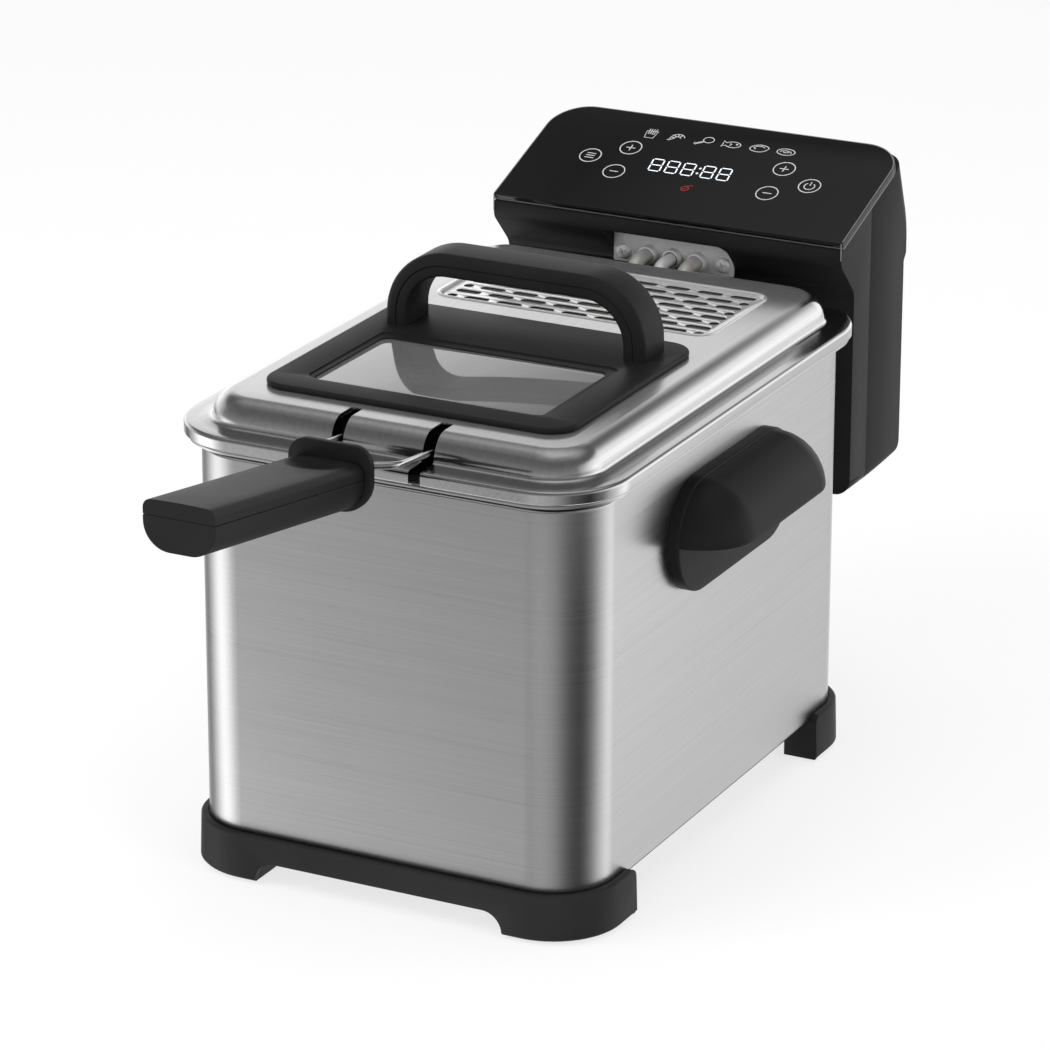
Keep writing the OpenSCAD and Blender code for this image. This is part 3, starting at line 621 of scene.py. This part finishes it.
def makeBasket():
    b = basket
    bend, wire = b["bend"], b["wire"] / 2
    length = b["rear"] - b["front"]
    midY = (b["rear"] + b["front"]) / 2
    halfW, halfD = b["w"] / 2 - b["inset"], length / 2 - b["inset"]
    low, top = b["low"] + b["inset"], b["rim"]

    def bent(half):
        # one wire from rim to rim, round the bottom edges
        right = arc(half - bend, low + bend, bend, 0, -90, 4)
        return [(half, top)] + right + arc(bend - half, low + bend, bend, -90, -180, 4) + [(-half, top)]

    def places(reach):
        count = int((reach - 2 * b["r"]) / b["pitch"])
        return [(i / count - 0.5) * (reach - 2 * b["r"]) for i in range(count + 1)]

    wires = [[(x, midY + u, v) for u, v in bent(halfD)] for x in places(b["w"])]
    wires += [[(u, midY + y, v + b["over"]) for u, v in bent(halfW)] for y in places(length)]
    pieces = [tube("wire", line, wire, 6) for line in wires]
    levels = int((top - low - bend) / b["pitch"])
    for i in range(levels):
        z = low + bend + (i + b["hoopAt"]) * (top - low - bend) / levels
        hoop = roundedLine(2 * halfW - b["hoopIn"], 2 * halfD - b["hoopIn"], b["hoopR"], 4)
        pieces.append(tube("wire", [(x, y + midY, z) for x, y in hoop], wire, 6, closed=True))
    dress(joined("basketMesh", pieces), "basket_floor", "basket_front_wall", "basket_rear_wall",
          "basket_left_wall", "basket_right_wall")
    rimLine = [(x, y + midY, b["rim"]) for x, y in roundedLine(b["w"], length, b["r"], 10)]
    dress(tube("basketRim", rimLine, b["rimWire"] / 2, 16, closed=True), "basket_rim_wire")


gripWire = {"radius": 1.9, "bend": 5,
            "line": [(25, -141, 150), (25, -141, 233), (25, -146, 240.5), (25, -185, 245.4), (12, -198, 247),
                     (12, -224, 251.1)]}


def makeHandleWires():
    line = softened(gripWire["line"], gripWire["bend"], 6)
    both = [tube("wire", [(side * p.x, p.y, p.z) for p in line], gripWire["radius"], 16) for side in (1, -1)]
    dress(joined("gripWires", both), "handle_wires")


grip = {"tip": -343.6, "root": -206, "rise": 8.9, "w": 38, "h": 24.4, "tipZ": 260.9, "seam": 4.2, "gap": 0.12,
        "topR": 4.5, "lowR": 13.5, "crown": 0.5, "crownX": (10, 5, 0, -5, -10), "shoulder": 0.3,
        "scoopR": 44, "scoopDeep": 2.2, "scoopAt": 17,
        "tipSteps": [(0, 1.3), (0.3, 0.67), (0.8, 0.21), (1.6, 0)]}   # along the grip, and how far the tip draws in


def gripSection(upper, inset=0.0):
    w, h = grip["w"] / 2 - inset, grip["h"] / 2 - inset
    seam, gap, crown, drop = grip["seam"], grip["gap"], grip["crown"], grip["shoulder"]
    if upper:
        r = grip["topR"] - inset
        middle = [(x, h - crown * (x / w) ** 2) for x in grip["crownX"]]
        lip = [(w - 0.25, seam + gap), (w, seam + gap + 0.3)]
        right, left = arc(w - r, h - r - drop, r, 0, 80, 7), arc(r - w, h - r - drop, r, 100, 180, 7)
        return lip + right + middle + left + mirrored(lip)
    r = grip["lowR"] - inset
    lip = [(w, seam - gap - 0.3), (w - 0.25, seam - gap)]
    return mirrored(lip) + arc(r - w, r - h, r, 180, 270, 12) + arc(w - r, r - h, r, 270, 360, 12) + lip


def makeGrip():
    run = (grip["root"] - grip["tip"]) / math.cos(math.radians(grip["rise"]))
    place = Matrix.Translation(atCasing(0, grip["tip"], grip["tipZ"])) @ turnBy(90 - grip["rise"])
    place = place @ Matrix.Translation((0, -middleY * mm, -run * mm))
    lean = math.tan(math.radians(grip["rise"]))          # the front and root faces stand upright
    stations = grip["tipSteps"] + [(run * i / 8, 0.0) for i in range(1, 9)]
    for name, upper, node in (("gripUpper", True, "grip_upper"), ("gripLower", False, "grip_lower")):
        rings = [[(x, y, z + y * lean) for x, y in gripSection(upper, inset)] for z, inset in stations]
        half = turned(loft(name, rings), place)
        if upper:
            ball = spun("scoop", arc(0, 0, grip["scoopR"], -90, 90, 48), Matrix.Identity(4), 64)
            lift = grip["h"] / 2 - grip["scoopDeep"] + grip["scoopR"] - grip["crown"] + middleY
            turned(ball, Matrix.Translation(place @ Vector((0, lift * mm, grip["scoopAt"] * mm))))
            half = cut(half, [ball])
        dress(half, node)
    soften("grip_collar")


makeBowl()
makeBasket()
makeHandleWires()
makeGrip()
print("bowl, basket and grip made")


# lid

lid = {"shift": -0.6, "out": 8.4, "low": 229.8, "flange": 236.9, "shoulder": 238.7, "top": 250.8, "r": 13,
       "edge": 1.9, "sheet": 1, "footIn": 4.3, "pinch": 1.7, "webIn": 6.6,
       "wireX": 25, "slot": 6.5, "slotEnd": -133, "slotR": 1.4, "cheek": 0.6, "cheekFront": -167.8, "cheekRear": -148,
       "back": 158.5, "rearHalf": 104, "notch": 48, "notchY": 142.4,
       "cove": [(-5.7, 1.2), (-4.8, 0.5), (-3.4, 0.2), (2, 0)],   # from the shoulder's foot out, above the flange
       "hem": [(0, 0.9), (-0.3, 0.5), (-0.7, 0.5), (-1, 0.8)],    # from the flange's outer edge in, above its foot
       "lip": [(3.2, 0.8), (3, 0), (2, 0), (2, 1.1)],             # the rib that rests on the bowl's rim
       "hemIn": [(-1.3, 1.1), (-1, 1.4)]}
window = {"w": 127, "front": -111, "rear": -35.5, "r": 5, "side": 3.5, "back": 6.5, "step": 2.5, "stepR": 6,
          "panIn": 1, "pocket": 4, "pocketR": 9, "glass": 3.5, "glassR": 8.5, "glassLow": 0.5, "glassTop": 1.7}
vent = {"w": 157, "front": 46.2, "rear": 123.3, "r": 9, "sink": 2.2, "rows": 8, "pitch": 18.9, "rowPitch": 9.2,
        "slot": 14.3, "wide": 5.4, "inset": 1.8, "insetR": 7.2, "plate": 0.4, "edge": 0.1, "endHole": 0.75,
        # the border's section: up from the sheet's top, over the edge of the lid's opening, and back down
        "foot": [(-1.2, -0.6), (-0.9, -0.1), (-0.55, 0.5)],
        "brow": [(-0.4, 0.1), (0.1, 0.5), (1.3, 0.5), (1.6, 0.3), (1.7, 0), (-0.3, 0), (-0.5, -0.3)],
        "back": [(-0.5, -1), (-1.2, -1)]}


def roundedHole(w, front, rear, r, steps=8):
    return roundedLine(w, rear - front, r, steps, 0, (front + rear) / 2)


def windowHole(wider, deeper, rearer, r):
    return roundedHole(window["w"] + 2 * wider, window["front"] - deeper, window["rear"] + rearer, r)


def lidSection():
    p = lid
    out, low, flange, e, sheet = p["out"], p["low"], p["flange"], p["edge"], p["sheet"]
    drop = p["top"] - p["r"]
    foot = math.degrees(math.asin((p["shoulder"] - drop) / p["r"]))
    reach = p["r"] * math.cos(math.radians(foot))
    centre = -p["footIn"] - reach
    narrow = (reach - p["pinch"]) / reach     # the shoulder is a little slimmer than round

    def shoulder(radius, start, end, steps):
        return [(centre + (x - centre) * narrow, z) for x, z in arc(centre, drop, radius, start, end, steps)]

    outside = shoulder(p["r"], 90, foot, 16) + shifted(p["cove"], 0, flange)
    outside += arc(out - e, flange - e, e, 90, 0, 6) + shifted(p["hem"], out, low)
    inside = shifted(p["lip"], 0, low) + shifted(p["hemIn"], out, low) + [(out - sheet, flange - e)]
    inside += [(out - e, flange - sheet), (-p["webIn"], flange - sheet)] + shoulder(p["r"] - sheet, foot, 90, 12)
    return outside + inside


def makeLid():
    p = lid
    pan = trayShape("lidPan", lidSection(), 16, cy=p["shift"])
    wide, far, under, over = 150, 220, 200, 300      # beyond the pan on every side
    panIn, skin = -window["panIn"], (240, 260)
    tools = [block("rearCut", (-wide, p["back"], under), (wide, far, over)),
             block("notch", (-p["notch"] / 2, p["notchY"], under), (p["notch"] / 2, far, over)),
             prism("windowCut", windowHole(panIn, panIn, panIn, window["stepR"]), *skin),
             prism("ventCut", roundedHole(vent["w"], vent["front"], vent["rear"], vent["r"]), *skin)]
    half, end, corner = p["slot"] / 2, p["slotEnd"], p["slotR"]
    for side in (-1, 1):
        x = side * p["wireX"]
        line = [(x - half, -far), (x + half, -far)] + arc(x + half - corner, end - corner, corner, 0, 90, 4)
        line += arc(x - half + corner, end - corner, corner, 90, 180, 4)
        tools.append(prism("slotCut", line, under, over))
    pan = cut(pan, tools, smooth=30)
    # the straight rear wall, and the turned-in sheet on both sides of each wire slot
    wall = block("rearWall", (-p["rearHalf"], p["back"] - 1, p["low"]), (p["rearHalf"], p["back"], p["flange"] - 0.5))
    cheeks = []
    thick = p["cheek"] / 2
    for side in (-1, 1):
        for edge in (-1, 1):
            x = side * p["wireX"] + edge * (half + thick)
            cheeks.append(block("cheek", (x - thick, p["cheekFront"], p["low"] + 0.2),
                                (x + thick, p["cheekRear"], p["flange"] - 0.6)))
    dress(joined("lidPan", [pan, wall] + cheeks), "lid_pan")


windowFrame = {"w": 170.8, "front": -127.8, "rear": 22.2, "r": 15, "t": 3.2, "edge": 1.2}


def makeWindow():
    f, w, top = windowFrame, window, lid["top"]
    outer = roundedHole(f["w"], f["front"], f["rear"], f["r"], 12)
    outlines = [outer, windowHole(0, 0, 0, w["r"])[::-1]]
    frameBody = sheetCut("windowFrame", outlines, top, top + f["t"], f["edge"], edgeSteps=3)
    seat = windowHole(w["pocket"], w["pocket"], w["pocket"], w["pocketR"])
    pocket = prism("pocket", seat, top - 1, top + w["glassTop"])
    step = prism("step", windowHole(w["side"], 0, w["back"], w["stepR"]), top + w["step"], top + 10)
    dress(rounded(cut(frameBody, [pocket, step]), 0.25, 2, 50), "window_frame")
    pane = windowHole(w["glass"], w["glass"], w["glass"], w["glassR"])
    dress(sheetCut("windowGlass", [pane], top + w["glassLow"], top + w["glassTop"], 0.3), "window_glass")


strap = {"gap": 61.2, "bend": 22.3, "low": 282.6, "t": 12.1, "w": 26.4, "cap": 5.8, "y": -3.9,
         "shellR": 3.6, "capR": 1.8, "capIn": 0.3}


def archSweep(name, section, foot):
    # carries a section up one leg, round both bends and down the other leg
    s = strap
    cx, cz = s["gap"] - s["bend"], s["low"] - s["bend"]
    rings = []
    path = [(1, foot, 0), (1, cz, 0)] + [(1, None, a) for a in range(6, 96, 6)]
    for side, z, angle in path + [(-1, z, a) for _, z, a in path[::-1]]:
        ring = []
        for reach, y in section:
            if z is not None:
                ring.append((side * (cx + reach), s["y"] + y, z))
            else:
                t = math.radians(angle)
                ring.append((side * (cx + reach * math.cos(t)), s["y"] + y, cz + reach * math.sin(t)))
        rings.append(ring)
    return loft(name, rings, smooth=40)


def makeLidHandle():
    s = strap
    foot = lid["top"] + windowFrame["t"]
    half, far, near = s["w"] / 2, s["bend"] + s["t"], s["bend"] + s["cap"]
    e = s["shellR"]
    shell = [(near + 0.15, -half + 0.3), (near + 0.5, -half)] + arc(far - e, e - half, e, -90, 0, 6)
    shell += arc(far - e, half - e, e, 0, 90, 6) + [(near + 0.5, half), (near + 0.15, half - 0.3)]
    dress(archSweep("lidHandleShell", shell, foot), "lid_handle_shell")
    e, half = s["capR"], half - s["capIn"]
    cap = [(near, half - 0.4), (near - 0.4, half)] + arc(s["bend"] + e, half - e, e, 90, 180, 5)
    cap += arc(s["bend"] + e, e - half, e, 180, 270, 5) + [(near - 0.4, -half), (near, 0.4 - half)]
    dress(archSweep("lidHandleCap", cap, foot), "lid_handle_cap")


def makeFilter():
    v = vent
    midY = (v["front"] + v["rear"]) / 2
    depth = v["rear"] - v["front"]
    top = lid["top"] - v["sink"] + 1
    outlines = [roundedLine(v["w"] - 2 * v["inset"], depth - 2 * v["inset"], v["insetR"], 8, 0, midY)]
    for j in range(v["rows"]):
        y = midY + (j - (v["rows"] - 1) / 2) * v["rowPitch"]
        endHoles = j % 2 == 0
        reach = 3 if endHoles else 3.5
        for i in range(int(2 * reach) + 1):
            outlines.append(pill(v["slot"], v["wide"], 7, (i - reach) * v["pitch"], y)[::-1])
        if endHoles:
            for side in (-1, 1):
                x = side * (reach + v["endHole"]) * v["pitch"]
                outlines.append(pill(v["wide"] + 0.01, v["wide"], 8, x, y)[::-1])
    plate = sheetCut("plate", outlines, top - v["plate"], top, v["edge"])
    rim = shifted(v["foot"], 0, top) + shifted(v["brow"], 0, lid["top"]) + shifted(v["back"], 0, top)
    border = sweepRim("border", rim, v["w"], depth, v["r"], 8, cy=midY)
    dress(joined("filterCover", [plate, border]), "filter_cover", material=finishes["filter_steel"])


makeLid()
makeWindow()
makeLidHandle()
makeFilter()
print("lid made")


# control head

panel = {"front": 159.75, "low": 272.35, "long": 89.7, "w": 205.8, "r": 22, "small": 1.2, "tilt": 19.9, "t": 3,
         "edge": 0.5, "trim": 1.2, "trimOut": 0.2, "trimIn": 5, "trimFront": 0.8, "trimEdge": 0.15,
         # the next keys size a painted highlight stroke round the glass's edge
         "edgeHighlight": 0.6, "edgeHighlightIn": 0.5, "edgeHighlightPoints": 35,
         # lip keys: painted highlight rods down the head's two front corners under the lip
         "lipX": 102.3, "lipTop": 272.4, "lipLow": 263, "lipHighlightR": 0.35}
signs = {"buttons": [(-65.4, 45.4), (-46.3, 57), (-46.1, 34.3), (45.0, 57.1), (44.8, 34.1), (64.8, 45.4)],
         "ring": 6.0, "arm": 2.6, "line": 0.6, "foodLine": 0.5, "lampX": -0.9, "lampY": 28, "lampR": 2.1,
         "lampMarks": [[(-2.3, 26.6), (0.5, 29.4)], [(-0.6, 30.4), (2.6, 31.2)]]}
display = {"at": (-28.2, -18.7, -9.2, 2.6, 12.1), "w": 6.6, "h": 10.6, "lean": -0.09, "foot": 39.6, "gap": 0.5,
           "dots": (3, 7.6), "dotX": -0.2, "dotR": 0.35, "line": 0.7}


def alongPanel():
    return Matrix.Translation(atCasing(0, panel["front"], panel["low"])) @ turnBy(panel["tilt"])


def panelLine(inset):
    w, long = panel["w"] / 2 - inset, panel["long"] - inset
    r, small = panel["r"] - inset, panel["small"]
    upper = arc(w - r, long - r, r, 0, 90, 16) + arc(r - w, long - r, r, 90, 180, 16)
    low = small + inset
    return upper + arc(small - w, low, small, 180, 270, 4) + arc(w - small, low, small, 270, 360, 4)


def strokes(name, lines, width, high=0.05):
    # each line is a thin flat bar on the panel's face
    points, faces = [], []
    for line, closed in lines:
        count = len(line)
        start = len(points)
        for i, (x, y) in enumerate(line):
            ax, ay = line[i - 1] if closed or i else line[0]
            bx, by = line[(i + 1) % count] if closed or i + 1 < count else line[-1]
            length = math.hypot(bx - ax, by - ay) or 1
            nx, ny = -(by - ay) / length * width / 2, (bx - ax) / length * width / 2
            points += [(x + nx, y + ny, 0), (x - nx, y - ny, 0), (x - nx, y - ny, high), (x + nx, y + ny, high)]
        for i in range(count if closed else count - 1):
            a, b = start + 4 * i, start + 4 * ((i + 1) % count)
            faces += [(a + k, a + (k + 1) % 4, b + (k + 1) % 4, b + k) for k in range(4)]
        if not closed:
            a, b = start, start + 4 * (count - 1)
            faces += [(a, a + 1, a + 2, a + 3), (b + 3, b + 2, b + 1, b)]
    return turned(makePiece(name, [(x, y - middleY, z) for x, y, z in points], faces), alongPanel())


def foodIcons():
    lines = []

    def put(u, line, closed=False):
        lines.append((shifted(line, u, 72), closed))

    cup, prawn, drumstick, fish, cutlet, ring = -40.8, -24.6, -8.7, 7.4, 23.8, 39.6
    put(cup, [(-3.4, 2.2), (-2.5, -4), (2.5, -4), (3.4, 2.2)], True)
    for x in (-2.2, -0.8, 0.7, 2.1):
        put(cup, [(x * 0.8, -0.6), (x, 4.2)])
    put(prawn, arc(0, -1.5, 4.2, 20, 200, 12) + [(-5.4, -3.2)])
    put(prawn, arc(0, -1.5, 1.9, 20, 180, 8) + [(-4.6, -3.6)])
    for a in (60, 95, 130, 165):
        across, up = math.cos(math.radians(a)), math.sin(math.radians(a))
        put(prawn, [(4.2 * across, 4.2 * up - 1.5), (1.9 * across, 1.9 * up - 1.5)])
    put(drumstick, [(x * 0.9 + 2, y * 0.75 + 1.2) for x, y in circleLine(0, 0, 3.4, 20)], True)
    put(drumstick, [(-0.6, -0.6), (-4, -2.8), (-4.9, -2.2), (-5, -3.4), (-4, -3.9), (-3.6, -3.3), (-0.2, -1.3)])
    put(fish, [(5 * math.cos(k / 10) * 0.9 + 0.8, 2.6 * math.sin(k / 10)) for k in range(-27, 28, 3)])
    put(fish, [(-3.3, 1.1), (-5.4, 2.6), (-5, 0), (-5.4, -2.6), (-3.3, -1.1)])
    put(fish, circleLine(3, 0.6, 0.4, 10), True)
    put(fish, [(-1, 1), (0, 0), (-1, -1)])
    turns = [math.radians(k) for k in range(0, 360, 15)]
    put(cutlet, [(5.2 * math.cos(t) * (1 + 0.12 * math.sin(2 * t)), 3.2 * math.sin(t)) for t in turns], True)
    put(cutlet, oval(3.1, 1.6, 0.4, 20, 250, 18))
    put(ring, oval(5.2, 2.9), True)
    put(ring, oval(1.8, 0.9, 0.3, step=24), True)
    put(ring, [(-3.4, -0.4), (-2.6, 1.2)])
    put(ring, [(3.2, -0.8), (2.6, 0.9)])
    return lines


def buttonSigns():
    menu, plusLeft, minusLeft, plusRight, minusRight, power = signs["buttons"]
    arm = signs["arm"]
    lines = [(circleLine(x, y, signs["ring"]), True) for x, y in signs["buttons"]]
    lines += [([(x - arm, y), (x + arm, y)], False) for x, y in (plusLeft, minusLeft, plusRight, minusRight)]
    lines += [([(x, y - arm), (x, y + arm)], False) for x, y in (plusLeft, plusRight)]
    x, y = menu            # a list of choices
    lines += [([(x - arm, y + k), (x + arm, y + k)], False) for k in (-2, 0, 2)]
    x, y = power           # on and off
    return lines + [(arc(x, y - 0.3, 2.9, 125, 415, 20), False), ([(x, y + 0.4), (x, y + 3.6)], False)]


def digitLines():
    d, lines = display, []
    w, h, gap = d["w"], d["h"], d["gap"]
    for u in d["at"]:
        def at(x, y):
            return (u + x + d["lean"] * y, d["foot"] + y)
        for y in (0, h / 2, h):
            lines.append(([at(gap, y), at(w - gap, y)], False))
        for x in (0, w):
            lines.append(([at(x, gap), at(x, h / 2 - gap)], False))
            lines.append(([at(x, h / 2 + gap), at(x, h - gap)], False))
    return lines + [(circleLine(d["dotX"], d["foot"] + y, d["dotR"], 10), True) for y in d["dots"]]


def makePanel():
    p = panel
    dress(sheetCut("panelGlass", [panelLine(0)], -p["t"], 0, p["edge"], alongPanel(), edgeSteps=2), "touch_panel")
    outer = [(x, max(y, p["trimFront"])) for x, y in panelLine(-p["trimOut"])]
    ring = [outer, panelLine(p["trimIn"])[::-1]]
    dress(sheetCut("panelTrim", ring, -p["t"] - p["trim"], -p["t"], p["trimEdge"], alongPanel()), "panel_trim")
    # painted highlight: a light grey stroke along the glass's right and top edges
    edge = panelLine(p["edgeHighlightIn"])
    edgeHighlight = [(edge[-1:] + edge[:p["edgeHighlightPoints"]], False)]
    dress(strokes("panelEdgeHighlight", edgeHighlight, p["edgeHighlight"]), slot="trim", body="head")
    # painted highlight: thin light grey rods down the head's front corners, below the lip
    highlightRuns = []
    for x in (-p["lipX"], p["lipX"]):
        highlightRuns.append(tube("run", [(x, p["front"], p["lipTop"]), (x, p["front"], p["lipLow"])], p["lipHighlightR"], 8))
    dress(joined("lipCornerHighlight", highlightRuns), slot="trim", body="head")
    lamp = [(circleLine(signs["lampX"], signs["lampY"], signs["lampR"], 20), True)]
    lamp += [(line, False) for line in signs["lampMarks"]]
    for name, lines, width, ink in (("panelMarks", buttonSigns(), signs["line"], "white"),
                                    ("foodMarks", foodIcons(), signs["foodLine"], "white"),
                                    ("panelDigits", digitLines(), display["line"], "lit"),
                                    ("panelLamp", lamp, signs["line"], "red")):
        dress(strokes(name, lines, width), slot="trim", body="head", material=inks[ink])


bracket = {"y": 171, "z": 247.3, "screwX": 29.5, "collarX": (-14.5, 0, 14.5), "recess": 2.2, "recessHalf": 0.35,
           "recessLow": 1.6, "recessTurns": (20, 110),
           "screw": [(0.01, 2.6), (1.6, 2.5), (3.0, 2.0), (4.0, 1.1), (4.4, 0.5), (4.4, 0.0), (0.01, 0.0)],
           "collar": [(4.05, 0), (5.5, 0), (5.5, 3.0), (5.0, 3.8), (4.4, 4.0), (4.05, 3.7)]}


def makeHead():
    b = bracket
    steel = finishes["bracket_steel"]

    def onBracket(x):
        return Matrix.Translation(atCasing(x, b["y"], b["z"])) @ turnBy(90)

    for node in ("head_front_shell", "head_rear_shell", "cord_gland"):
        soften(node)
    soften("element_bracket", steel)
    soften("element_clips")
    heads = []
    for x in (-b["screwX"], b["screwX"]):
        head = spun("screw", b["screw"], Matrix.Identity(4), 28)
        for angle in b["recessTurns"]:
            bar = block("bar", (-b["recess"], -b["recessHalf"] - middleY, b["recessLow"]),
                        (b["recess"], b["recessHalf"] - middleY, 4))
            head = cut(head, [turned(bar, turnBy(angle, "Z"))])
        heads.append(turned(head, onBracket(x)))
    dress(joined("bracketScrews", heads), "bracket_screws", material=steel)
    collars = [spun("collar", b["collar"], onBracket(x), 28) for x in b["collarX"]]
    dress(joined("tubeCollars", collars), "tube_collars", material=steel)


element = {"x": 14.5, "y": 148.3, "bend": 12, "z": 78, "pitch": 32, "front": -99, "back": 84, "tube": 4,
           "probe": 3.5, "probeEnd": 70}


def makeElement():
    e = element
    start, top = bracket["y"], bracket["z"]
    bend, turn = e["bend"], e["pitch"] / 2
    outer = 2.5 * e["pitch"]
    line = [(e["x"], start, top)]
    line += [(e["x"], e["y"] + bend - v, top - bend + u) for v, u in arc(0, 0, bend, 90, 0, 6)]
    line += [(e["x"] + turn - u, e["y"], e["z"] + turn - v) for u, v in arc(0, 0, turn, 0, 90, 6)]
    line += [(outer - turn + u, e["y"] - turn + v, e["z"]) for u, v in arc(0, 0, turn, 90, 0, 6)]
    line += [(outer - turn + u, e["front"] + v, e["z"]) for u, v in arc(0, 0, turn, 0, -180, 12)]
    line += [(e["pitch"] + u, e["back"] + v, e["z"]) for u, v in arc(0, 0, turn, 0, 180, 12)]
    line += [(u, e["front"] + v, e["z"]) for u, v in arc(0, 0, turn, 0, -90, 6)]
    line += [(-x, y, z) for x, y, z in line[-2::-1]]      # the other half is its mirror image
    dress(tube("heatingTube", line, e["tube"], 20), "heating_element")
    probe = [(0, start, top)] + [(0, e["y"] + bend - v, top - bend + u) for v, u in arc(0, 0, bend, 90, 0, 6)]
    probe += [(0, e["y"] - bend + u, e["z"] + bend - v) for u, v in arc(0, 0, bend, 0, 90, 6)]
    probe += [(0, e["probeEnd"], e["z"])]
    dress(tube("thermostatTube", probe, e["probe"], 18), "thermostat_probe", material=finishes["bracket_steel"])


makePanel()
makeHead()
makeElement()
print("control head made")


# camera, floor and light

studio = {
    "ambient": 0.55,
    # what polished steel mirrors at and below the horizon: brightness by direction, 0 in front and 90 on the right
    "around": [(-175, 0.9), (-150, 1.15), (-112, 0.12), (-92, 0.75), (-68, 2.1), (-50, 1.45), (-37, 0.62),
               (-24, 0.36), (0, 0.54), (26, 0.42), (50, 0.12), (76, 0.02), (96, 0.2), (118, 0.85), (138, 1.4),
               (154, 0.72), (178, 0.75)],
    # and by height, ahead of the fryer and behind it
    "ahead": [(-12, 0.36), (0, 0.3), (20, 0.2), (31, 0.15), (50, 0.13), (70, 0.27), (90, 0.6)],
    "behind": [(-12, 1.1), (0, 1.45), (12, 1.3), (21, 1.0), (31, 0.13), (44, 0.13), (62, 0.42), (90, 0.6)],
    "rear": [(-120, 1), (-75, 0), (75, 0), (120, 1)],
    "horizon": (-0.2, 0.03),
}
softBoxes = {     # place, aim, size and power
    "key": ((-1.6, -1.6, 2.2), (0, 0, 0.2), (1.6, 1.6), 40),
    "fill": ((2.2, -0.9, 1.2), (0, 0, 0.2), (1.4, 1.8), 22),
    "top": ((0.2, 0.5, 2.4), (0, 0, 0.2), (1.8, 1.4), 18),
    "front": ((-0.4, -2.6, 0.5), (0, 0, 0.15), (1.6, 1.0), 26),
}
view = {"place": (1.09969, -2.15307, 1.0385), "azimuth": 27.088, "elevation": 20.162, "roll": 0.070, "lens": 171.99,
        "sensor": 36, "reach": 50}
paperFloor = {"half": 6, "low": 0.93, "high": 0.94, "glow": 0.75}


def makeCamera():
    data = bpy.data.cameras.new("camera")
    data.lens = view["lens"]
    data.sensor_width = view["sensor"]
    data.clip_end = view["reach"]
    x, y, z = view["place"]
    turn = turnBy(view["azimuth"], "Z", 3) @ turnBy(90 - view["elevation"], "X", 3) @ turnBy(view["roll"], "Z", 3)
    camera = placed("camera", data)
    camera.location = (x, y + middleY * mm, z)
    camera.rotation_euler = turn.to_euler()
    bpy.context.scene.camera = camera


def makeSoftBox(name, place, aim, size, power):
    data = bpy.data.lights.new(name, "AREA")
    data.shape = "RECTANGLE"
    data.size, data.size_y = size
    data.energy = power
    lamp = placed(name, data)
    lamp.location = place
    lamp.visible_glossy = False
    lamp.rotation_euler = (Vector(aim) - Vector(place)).to_track_quat("-Z", "Y").to_euler()


def studioWorld():
    world = bpy.data.worlds.new("studio")
    bpy.context.scene.world = world
    sky = Finish("studio", world)
    along = sky.add("ShaderNodeSeparateXYZ", {}, {"Vector": sky.place})
    right, back, up = along.out("X"), along.out("Y"), along.out("Z")
    turn = right.maths("ARCTAN2", right, back * -1) * (0.5 / math.pi) + 0.5      # 0.5 is the front, 0.75 the right
    height = up * 0.5 + 0.5

    def byTurn(stops):
        return sky.ramp(turn, [(angle / 360 + 0.5, grey(v)) for angle, v in stops])

    def byHeight(stops):
        return sky.ramp(height, [(math.sin(math.radians(angle)) * 0.5 + 0.5, grey(v)) for angle, v in stops])

    def mixed(factor, first, second):
        mix = sky.add("ShaderNodeMix", {"data_type": "RGBA"}, {"Factor": factor, 6: first, 7: second})
        return Socket(sky, mix.node.outputs[2])

    def background(colour, strength):
        return sky.add("ShaderNodeBackground", {}, {"Color": colour, "Strength": strength}).out("Background")

    high = mixed(byTurn(studio["rear"]), byHeight(studio["ahead"]), byHeight(studio["behind"]))
    room = mixed(sky.spread(up, *studio["horizon"]), byTurn(studio["around"]), high)
    path = sky.add("ShaderNodeLightPath")
    seen = path.out("Is Camera Ray").maths("MAXIMUM", path.out("Is Camera Ray"), path.out("Is Transmission Ray"))
    white = (1, 1, 1, 1)
    soft, mirror = background(white, studio["ambient"]), background(room, 1.0)
    lit = sky.add("ShaderNodeMixShader", {}, {0: path.out("Is Glossy Ray"), 1: soft, 2: mirror}).out("Shader")
    full = sky.add("ShaderNodeMixShader", {}, {0: seen, 1: lit, 2: background(white, 1.0)}).out("Shader")
    sky.add("ShaderNodeOutputWorld", {}, {"Surface": full})


def makeFloor():
    half = paperFloor["half"]
    mesh = bpy.data.meshes.new("floor")
    mesh.from_pydata([(-half, -half, 0), (half, -half, 0), (half, half, 0), (-half, half, 0)], [], [(0, 1, 2, 3)])
    floor = placed("floor", mesh)
    paper = Finish("floorPaper")
    tone = paper.tint(paper.noise(40.0), grey(paperFloor["low"]), grey(paperFloor["high"]))
    matte = paper.add("ShaderNodeBsdfDiffuse", {}, {"Color": tone}).out("BSDF")
    glow = paper.add("ShaderNodeEmission", {}, {"Color": (1, 1, 1, 1), "Strength": 1.0}).out("Emission")
    share = paper.add("ShaderNodeLightPath").out("Is Camera Ray") * paperFloor["glow"]
    mixed = paper.add("ShaderNodeMixShader", {}, {0: share, 1: matte, 2: glow}).out("Shader")
    paper.add("ShaderNodeOutputMaterial", {}, {"Surface": mixed})
    floor.data.materials.append(paper.material)
    floor.visible_glossy = False


makeCamera()
studioWorld()
makeFloor()
for name, (place, aim, size, power) in softBoxes.items():
    makeSoftBox(name, place, aim, size, power)
bpy.context.scene.view_settings.view_transform = "Standard"
print("camera and light made")
